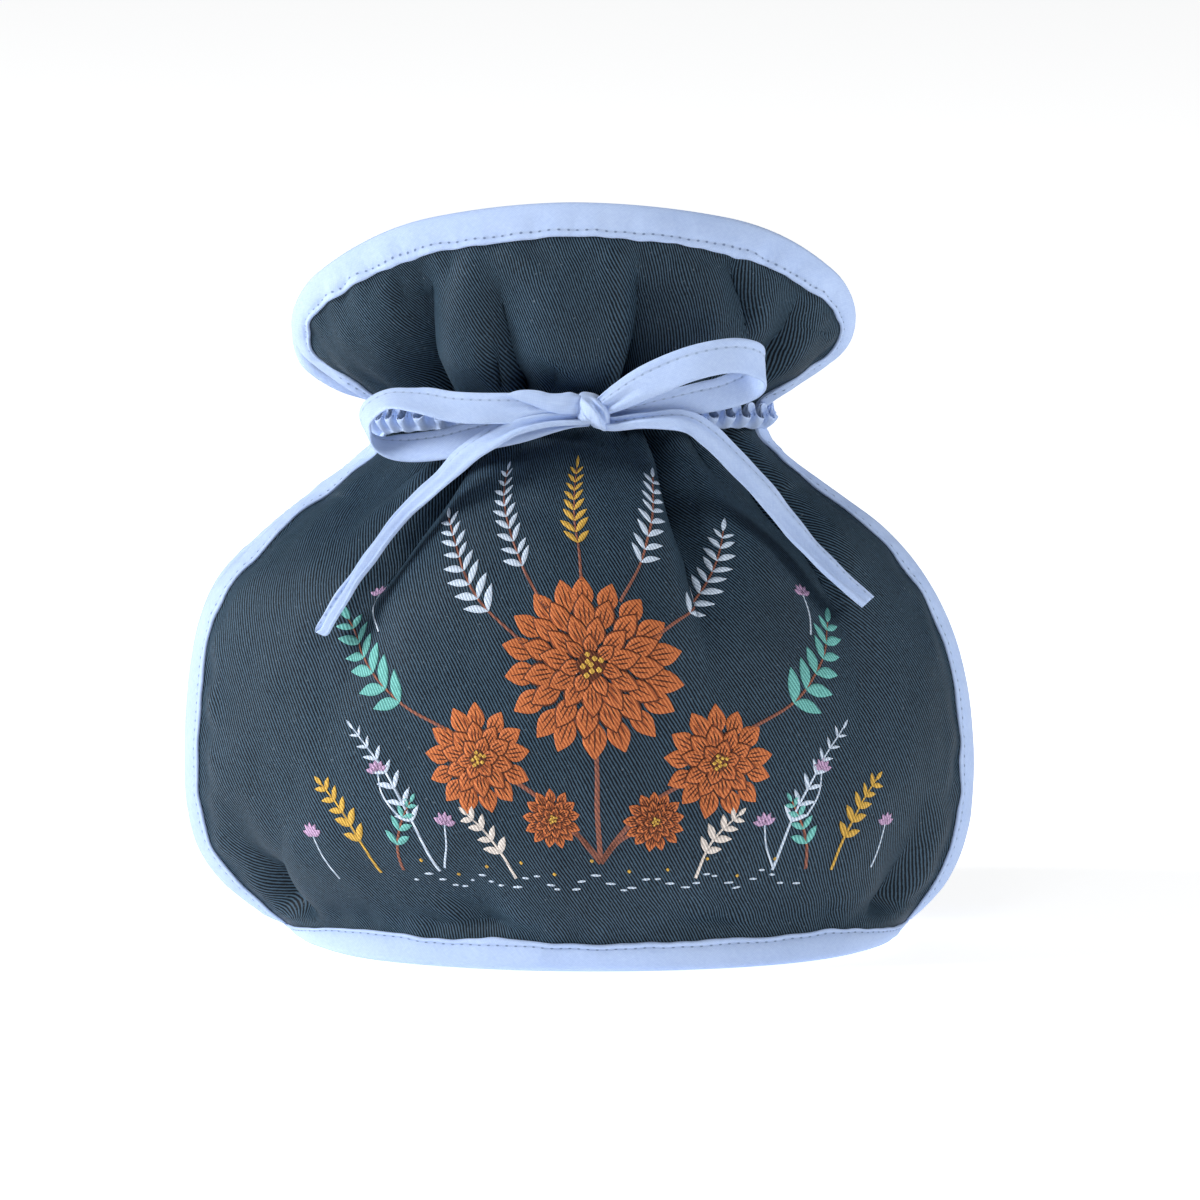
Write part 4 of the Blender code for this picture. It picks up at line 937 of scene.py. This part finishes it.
# From the lower front edge over the top's two folded layers to the lower back edge: how far out from the
# cloth in a forward loop and in a backward one, and how far up it from the neck in each.
RUCHE_SECTION = (
    (1.1, 0.9, -5.6, -5.2),
    (2.4, 1.3, -4.8, -3.2),
    (3.7, 1.5, -3.6, -0.9),
    (4.7, 1.7, -2.4, 1.3),
    (5.25, 1.8, -1.5, 3.1),
    (5.35, 1.8, -1.0, 3.6),
    (5.2, 1.6, -0.75, 3.8),
    (4.95, 1.4, -0.9, 3.6),
    (4.8, 1.3, -1.6, 2.9),
    (4.65, 1.2, -0.9, 3.6),
    (4.4, 1.0, -0.75, 3.8),
    (4.2, 0.9, -1.0, 3.6),
    (4.05, 0.8, -1.7, 2.8),
    (3.2, 0.65, -2.7, 1.2),
    (2.2, 0.5, -3.8, -1.0),
    (1.2, 0.35, -4.9, -3.2),
    (0.5, 0.2, -5.7, -5.2),
)
# The neck's lines, from one end of the band to the other, lie this far up the cloth from its narrowest.
LEVELS = np.arange(-7.5, 7.6, 1.5)
AT_NECK = len(LEVELS) // 2


def neck_line(level):
    """A smoothed line round the neck, from one side of the bow to the other, at one level of the cloth."""
    front = np.linspace(-BAND_END, -1, 400) * HALF_WIDTH
    across = np.linspace(-1, 1, 800) * HALF_WIDTH
    parts = ((FRONT, front), (BACK, across), (FRONT, -front[::-1]))
    line = np.concatenate([smooth_form(panel, x, np.full(len(x), NECK + level)) for panel, x in parts])
    for _ in range(60):
        line[1:-1] = (line[:-2] + 2 * line[1:-1] + line[2:]) / 4
    return line


STATION = 0.3  # from one station of the band to the next
lines = [neck_line(level) for level in LEVELS]
run = distance_along(lines[AT_NECK])
at = np.linspace(0, run[-1], int(run[-1] / STATION))
lines = np.stack([[np.interp(at, run, column) for column in line.T] for line in lines]).transpose(2, 0, 1)
line = lines[:, AT_NECK]
way = unit(np.gradient(line, axis=0))
out = unit(np.stack([-way[:, 1], way[:, 0], np.zeros(len(way))], axis=1))
out *= np.sign(((line - line.mean(axis=0)) * out).sum(axis=1, keepdims=True))
# The loops' pace, their size and their heights are all a little uneven.
pace = 1 + 0.22 * ripple(at, 0, 31, 71)
phase = (np.cumsum(np.gradient(at) * pace) * math.tau / LOOP)[:, None]
size = (1 + 0.16 * ripple(at, 0, 14, 72))[:, None]
BAND_CLEAR = EDGE_THICK / 2 + 0.25  # the band's inner side from the middle of the cloth
section = np.array(RUCHE_SECTION)
forward = 0.5 + 0.5 * np.sin(phase)
far = section[:, 0] * forward + section[:, 1] * (1 - forward)
far = BAND_CLEAR + far * (0.75 + 0.25 * size)
high = section[:, 2] * forward + section[:, 3] * (1 - forward) + 0.3 * ripple(at, 0, 9, 73)[:, None]
# The loops swing along the neck as well as out from it, more so at the upper edge.
LOOP_SWING = 0.75
swing = -LOOP_SWING * np.sin(2 * phase) * ease((section[:, 3] + 4) / 6) * size
# Each point stands out from the cloth at its own height, between two of the neck's lines.
step = (high - LEVELS[0]) / (LEVELS[1] - LEVELS[0])
below = np.clip(step.astype(int), 0, len(LEVELS) - 2)
share = (step - below)[..., None]
station = np.arange(len(at))[:, None]
points = lines[station, below] * (1 - share) + lines[station, below + 1] * share
points = points + out[:, None] * far[..., None] + way[:, None] * swing[..., None]
around = distance_along(section[:, [0, 2]])
gathered = distance_along(points).mean(axis=1)
flats = np.stack(np.broadcast_arrays(gathered[:, None], around, UNSEWN), axis=-1)
ruche = make_strip("neck_ruche", points, flats, pale_blue)
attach(ruche, "root")
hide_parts("neck_band")

# ---- The tie ----------------------------------------------------------------------------------------
# One length of the same cotton, folded to a flat 9 mm tape and sewn along its open edge, tied in a bow at
# the front. Its loops and its two free ends leave one knot, and its leads go back into the neck band.
TAPE_WIDTH = 9.2
TAPE_THICK = 1.15
pale_blue_tape = plain_weave("pale_blue_tape", 0.42)
# Each run: x, y, z, the turn of its outer face from the front towards the left, how far that face tips
# up, and its width as a share.
RUNS = {
    "bow_left_loop": (
        (3.0, -48.6, 146.4, 0, 0, 0.50),
        (-5.0, -50.0, 147.2, 0, 0, 0.62),
        (-12.6, -51.0, 147.3, 0, 8, 0.82),
        (-23.2, -51.4, 147.2, 2, 22, 0.92),
        (-32.4, -50.2, 147.4, 8, 36, 0.98),
        (-41.6, -47.0, 148.7, 22, 54, 1),
        (-49.8, -42.2, 148.2, 44, 56, 1),
        (-55.6, -38.0, 143.2, 64, 20, 1),
        (-53.9, -36.4, 136.8, 96, -40, 1),
        (-47.0, -38.0, 134.8, 160, -42, 1),
        (-36.4, -41.0, 136.0, 180, -38, 1),
        (-25.8, -44.0, 139.0, 182, -30, 1),
        (-15.2, -46.2, 141.4, 180, -16, 0.90),
        (-6.0, -46.6, 143.0, 180, 0, 0.62),
        (3.0, -45.4, 144.0, 180, 0, 0.40),
    ),
    "bow_right_loop": (
        (5.0, -48.8, 146.4, 0, 0, 0.50),
        (11.3, -51.2, 150.4, 0, 0, 0.80),
        (19.2, -53.8, 155.1, 0, 2, 0.98),
        (29.8, -55.6, 159.7, 0, 4, 1),
        (39.9, -54.0, 161.6, -10, 4, 1),
        (46.2, -50.0, 160.2, -46, 4, 1),
        (48.8, -45.4, 157.0, -90, 4, 1),
        (45.7, -42.6, 153.0, -140, 6, 1),
        (38.3, -44.0, 150.2, -172, 10, 1),
        (29.8, -46.4, 148.8, -180, 14, 0.96),
        (20.5, -47.6, 147.0, -180, 10, 0.80),
        (12.0, -47.0, 144.8, -180, 4, 0.62),
        (5.0, -45.2, 144.6, -180, 0, 0.40),
    ),
    "bow_left_tail": (
        (5.0, -47.6, 144.4, 0, 0, 0.40),
        (-1.4, -50.4, 144.4, 8, 30, 0.42),
        (-9.9, -51.6, 144.0, 13, 37, 0.50),
        (-17.1, -52.0, 142.3, 14, 36, 0.66),
        (-23.2, -51.8, 139.1, 18, 43, 0.80),
        (-29.5, -51.4, 134.7, 25, 48, 0.84),
        (-35.9, -52.0, 128.4, 34, 51, 0.76),
        (-45.2, -52.4, 119.9, 49, 50, 0.62),
        (-52.1, -55.9, 111.8, 62, 43, 0.54),
        (-57.6, -59.0, 104.2, 63, 37, 0.52),
        (-62.9, -60.7, 96.4, 60, 30, 0.54),
        (-67.4, -60.8, 88.7, 58, 21, 0.58),
    ),
    "bow_right_tail": (
        (4.6, -47.4, 143.4, 0, 0, 0.40),
        (9.1, -50.0, 142.8, -12, 30, 0.42),
        (17.9, -51.2, 144.0, -15, 40, 0.52),
        (28.0, -50.6, 143.8, -16, 38, 0.74),
        (34.6, -49.0, 139.6, -17, 36, 0.80),
        (41.2, -47.6, 133.0, -17, 38, 0.80),
        (48.4, -46.6, 125.2, -17, 43, 0.80),
        (54.2, -46.4, 117.9, -20, 45, 0.76),
        (60.8, -47.0, 110.0, -29, 43, 0.72),
        (68.5, -48.4, 102.3, -38, 37, 0.68),
        (76.4, -48.0, 95.2, -46, 29, 0.66),
    ),
    "bow_left_lead": (
        (3.0, -45.4, 143.4, 0, 0, 0.40),
        (-4.0, -42.2, 143.2, 6, 0, 0.60),
        (-12.0, -40.0, 142.6, 14, 0, 0.80),
        (-20.6, -36.4, 142.0, 28, 0, 0.84),
    ),
    "bow_right_lead": (
        (5.0, -45.4, 143.4, 0, 0, 0.40),
        (10.0, -42.0, 143.2, -6, 0, 0.60),
        (15.0, -39.4, 143.8, -16, 0, 0.70),
        (21.0, -35.6, 144.0, -30, 0, 0.70),
    ),
}
# Which edge of each run is sewn: 1 for the one on the left of its way, seen on its outer face.
SEWN_EDGE = dict(zip(RUNS, (1, -1, 1, -1, 1, -1)))
SEWN_IN = 2.3  # from that edge to its line of stitching


def tape_run(rows, step):
    """Points, directions and widths along a run of the tape, a small step apart."""
    columns = np.array(rows, float).T
    at = np.linspace(0, 1, len(rows))
    fine = np.linspace(0, 1, 600)
    run = distance_along(np.stack([smooth_between(at, column, fine) for column in columns[:3]], axis=1))
    evenly = np.linspace(0, run[-1], int(run[-1] / step))
    where = np.interp(evenly, run, fine)
    x, y, z, turn, tip, share = (smooth_between(at, column, where) for column in columns)
    line = np.stack([x, y, z], axis=1)
    way = unit(np.gradient(line, axis=0))
    turn, tip = np.radians(turn), np.radians(tip)
    face = np.stack([-np.sin(turn) * np.cos(tip), -np.cos(turn) * np.cos(tip), np.sin(tip)], axis=1)
    wide = unit(np.cross(way, face))
    return line, way, wide, np.cross(wide, way), share, evenly


# Shares across the tape at which its faces have points, and the way round it from edge to edge and back.
ACROSS_TAPE = np.array((-1, -0.97, -0.9, -0.78, -0.6, -0.4, -0.2, 0, 0.2, 0.4, 0.6, 0.78, 0.9, 0.97, 1))
ROUND_TAPE = np.concatenate([ACROSS_TAPE, ACROSS_TAPE[-2:0:-1]])
OUTER_OR_INNER = np.repeat((1, -1), (len(ACROSS_TAPE), len(ACROSS_TAPE) - 2))
ROUNDED_END = 2.4  # the left tail's end is turned in and sewn round, over this length
SLANT, SLANTED_END = -0.6, 7  # the right tail's end is cut on a slant: how far at each edge, over what length


def make_tape(name, rows, sewn, seed):
    """One run of the tape, thinner at its line of stitching and folded small where it runs narrow."""
    line, way, wide, face, share, at = tape_run(rows, step=0.7)
    to_end = at[-1] - at
    slant = 0 * at
    if name == "bow_left_tail":
        share = share * np.sqrt(np.clip(1 - (1 - to_end / ROUNDED_END).clip(0) ** 2, 0.02, 1))
    if name == "bow_right_tail":
        slant = SLANT * ease(1 - to_end / SLANTED_END)
    from_sewn = (1 - ROUND_TAPE * sewn) / 2 * TAPE_WIDTH - SEWN_IN
    thick = TAPE_THICK / 2 * OUTER_OR_INNER * np.sqrt(np.clip(1 - np.abs(ROUND_TAPE) ** 9, 0, 1))
    thick = thick * (1 - 0.32 * hill(from_sewn, 0.8))
    # Where the tape runs narrow it is gathered, and its spare width stands in small folds.
    spare = np.clip(1 - share, 0, 0.6)[:, None]
    folds = 2.3 * np.cos(ROUND_TAPE * (5.2 + 1.3 * np.sin(seed)) + seed + at[:, None] * 0.06)
    cup, waver = 0.25 * ripple(at, 0, 22, seed)[:, None], 0.18 * ripple(at, 0, 11, seed + 1)[:, None]
    height = spare * folds * (1 - ROUND_TAPE**4) + cup * (ROUND_TAPE**2 - 0.4) + waver * ROUND_TAPE
    rings = line[:, None] + face[:, None] * (height + thick)[..., None]
    rings = rings + wide[:, None] * (ROUND_TAPE * TAPE_WIDTH / 2 * share[:, None])[..., None]
    rings = rings + way[:, None] * (ROUND_TAPE * slant[:, None])[..., None]
    flats = np.stack(np.broadcast_arrays(at[:, None], ROUND_TAPE * TAPE_WIDTH / 2 + 20, from_sewn), axis=-1)
    return make_strip(name, rings, flats, pale_blue_tape), at[-1] * MM


for seed, (name, rows) in enumerate(RUNS.items()):
    piece, length = make_tape(name, rows, SEWN_EDGE[name], seed + 1)
    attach(piece, "root")

# The knot is one turn of the tape drawn tight round the others: a flap that comes down across the front to a
# point, with the turn behind it standing up as a roll along its edge. Both lines are x and z.
KNOT_OUTLINE = np.array((
    (0.7, 150.1), (3.4, 150.3), (6.3, 149.0), (8.2, 146.6), (8.7, 143.8), (7.6, 140.9),
    (5.2, 141.9), (2.7, 143.1), (-0.1, 144.1), (0.1, 147.2),
))
FLAP_EDGE = np.array(((0.4, 150.6), (3.2, 148.8), (5.4, 145.8), (7.7, 140.8)))
# Where the outline stands in depth in front and behind, and how far each side swells from there.
KNOT_FRONT, KNOT_BACK = -48.9, -43.4
FRONT_SWELLS, BACK_SWELLS = 4.6, 2.0
middle = KNOT_OUTLINE.mean(axis=0)
spokes = KNOT_OUTLINE - middle
angle, reach = np.arctan2(spokes[:, 1], spokes[:, 0]), np.linalg.norm(spokes, axis=1)
order = np.argsort(angle)
angle = np.concatenate([angle[order] + turn for turn in (-math.tau, 0, math.tau)])
reach = np.tile(reach[order], 3)
turns, shares = np.linspace(-np.pi, np.pi, 120, endpoint=False), np.linspace(0.02, 1, 44)[:, None]
radius = smooth_between(angle, reach, turns) * shares
x, z = middle[0] + radius * np.cos(turns), middle[1] + radius * np.sin(turns)
dome = np.sqrt(np.clip(1 - shares**2.6, 0, 1))
# Points below the flap's edge, where the signed distance is under zero, are on the flap. Its lip stands up,
# a hollow lies above it, and two creases run along it.
dx, dz, steps = nearest_on(FLAP_EDGE, x, z)
ahead = np.diff(FLAP_EDGE, axis=0)[np.minimum(steps.astype(int), len(FLAP_EDGE) - 2)]
beside = np.sign(dz * ahead[..., 0] - dx * ahead[..., 1]) * np.hypot(dx, dz)
along = steps / (len(FLAP_EDGE) - 1)
lip = 0.9 * hill(beside, np.where(beside < 0, 1.3, 0.16))
hollow = 2.1 * (beside >= 0) * hill(beside - 0.75, 0.75) * np.sin(np.pi * along) ** 0.6
creases = 0.28 * hill(beside + 2.2 + 0.5 * np.sin(3 * along), 0.3) + 0.2 * hill(beside + 3.6, 0.25)
front_side = np.stack([x, KNOT_FRONT - (FRONT_SWELLS + lip - hollow - creases) * dome, z], axis=-1)
back_side = np.stack([x, KNOT_BACK + BACK_SWELLS * dome + 0 * x, z], axis=-1)
points = np.concatenate([back_side, front_side[::-1]])


def gathered_places(points, turned_over):
    """Flat places of tape drawn tight, seen from the front and turned, with no stitching near."""
    x, z = points[..., 0], points[..., 2]
    return np.stack([0.8 * x + 0.6 * z, turned_over * (0.8 * z - 0.6 * x), np.full(x.shape, UNSEWN)], axis=-1)


knot = make_strip("bow_knot", points, gathered_places(points, 1), pale_blue_tape)
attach(knot, "root")
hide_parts("tie_bow")

# Left of the knot the left loop's tape folds over along its upper edge and gathers into a thick roll.
# Each station: x, then z of its lower and upper edges, its front and its thickness.
ROLL = (
    (-18.4, 150.6, 151.2, -52.3, 0.7),
    (-15.6, 149.6, 152.1, -52.6, 0.9),
    (-12.6, 148.6, 152.2, -52.7, 1.1),
    (-9.8, 147.3, 151.8, -52.8, 1.7),
    (-7.2, 146.1, 151.0, -52.9, 2.8),
    (-4.6, 145.6, 150.9, -52.9, 3.4),
    (-2.0, 145.5, 151.2, -52.4, 3.6),
    (0.2, 145.8, 150.6, -51.4, 3.2),
    (1.6, 146.2, 149.8, -50.2, 2.4),
)
rows, stations = np.linspace(0, 1, len(ROLL)), np.linspace(0, 1, 60)[:, None]
x, low, high, front_y, thick = (smooth_between(rows, column, stations) for column in np.array(ROLL).T)
turns = np.linspace(0, math.tau, 56, endpoint=False)
folded = 1 + 0.07 * np.sin(3 * turns + 5 * stations) + 0.05 * np.sin(7 * turns + 2.0)
y = front_y + thick / 2 - thick / 2 * np.cos(turns) * folded
z = (low + high) / 2 + (high - low) / 2 * np.sin(turns) * folded
points = np.stack(np.broadcast_arrays(x, y, z), axis=-1)
roll = make_strip("bow_roll", points, gathered_places(points, -1), pale_blue_tape)
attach(roll, "root")

bpy.context.view_layer.update()
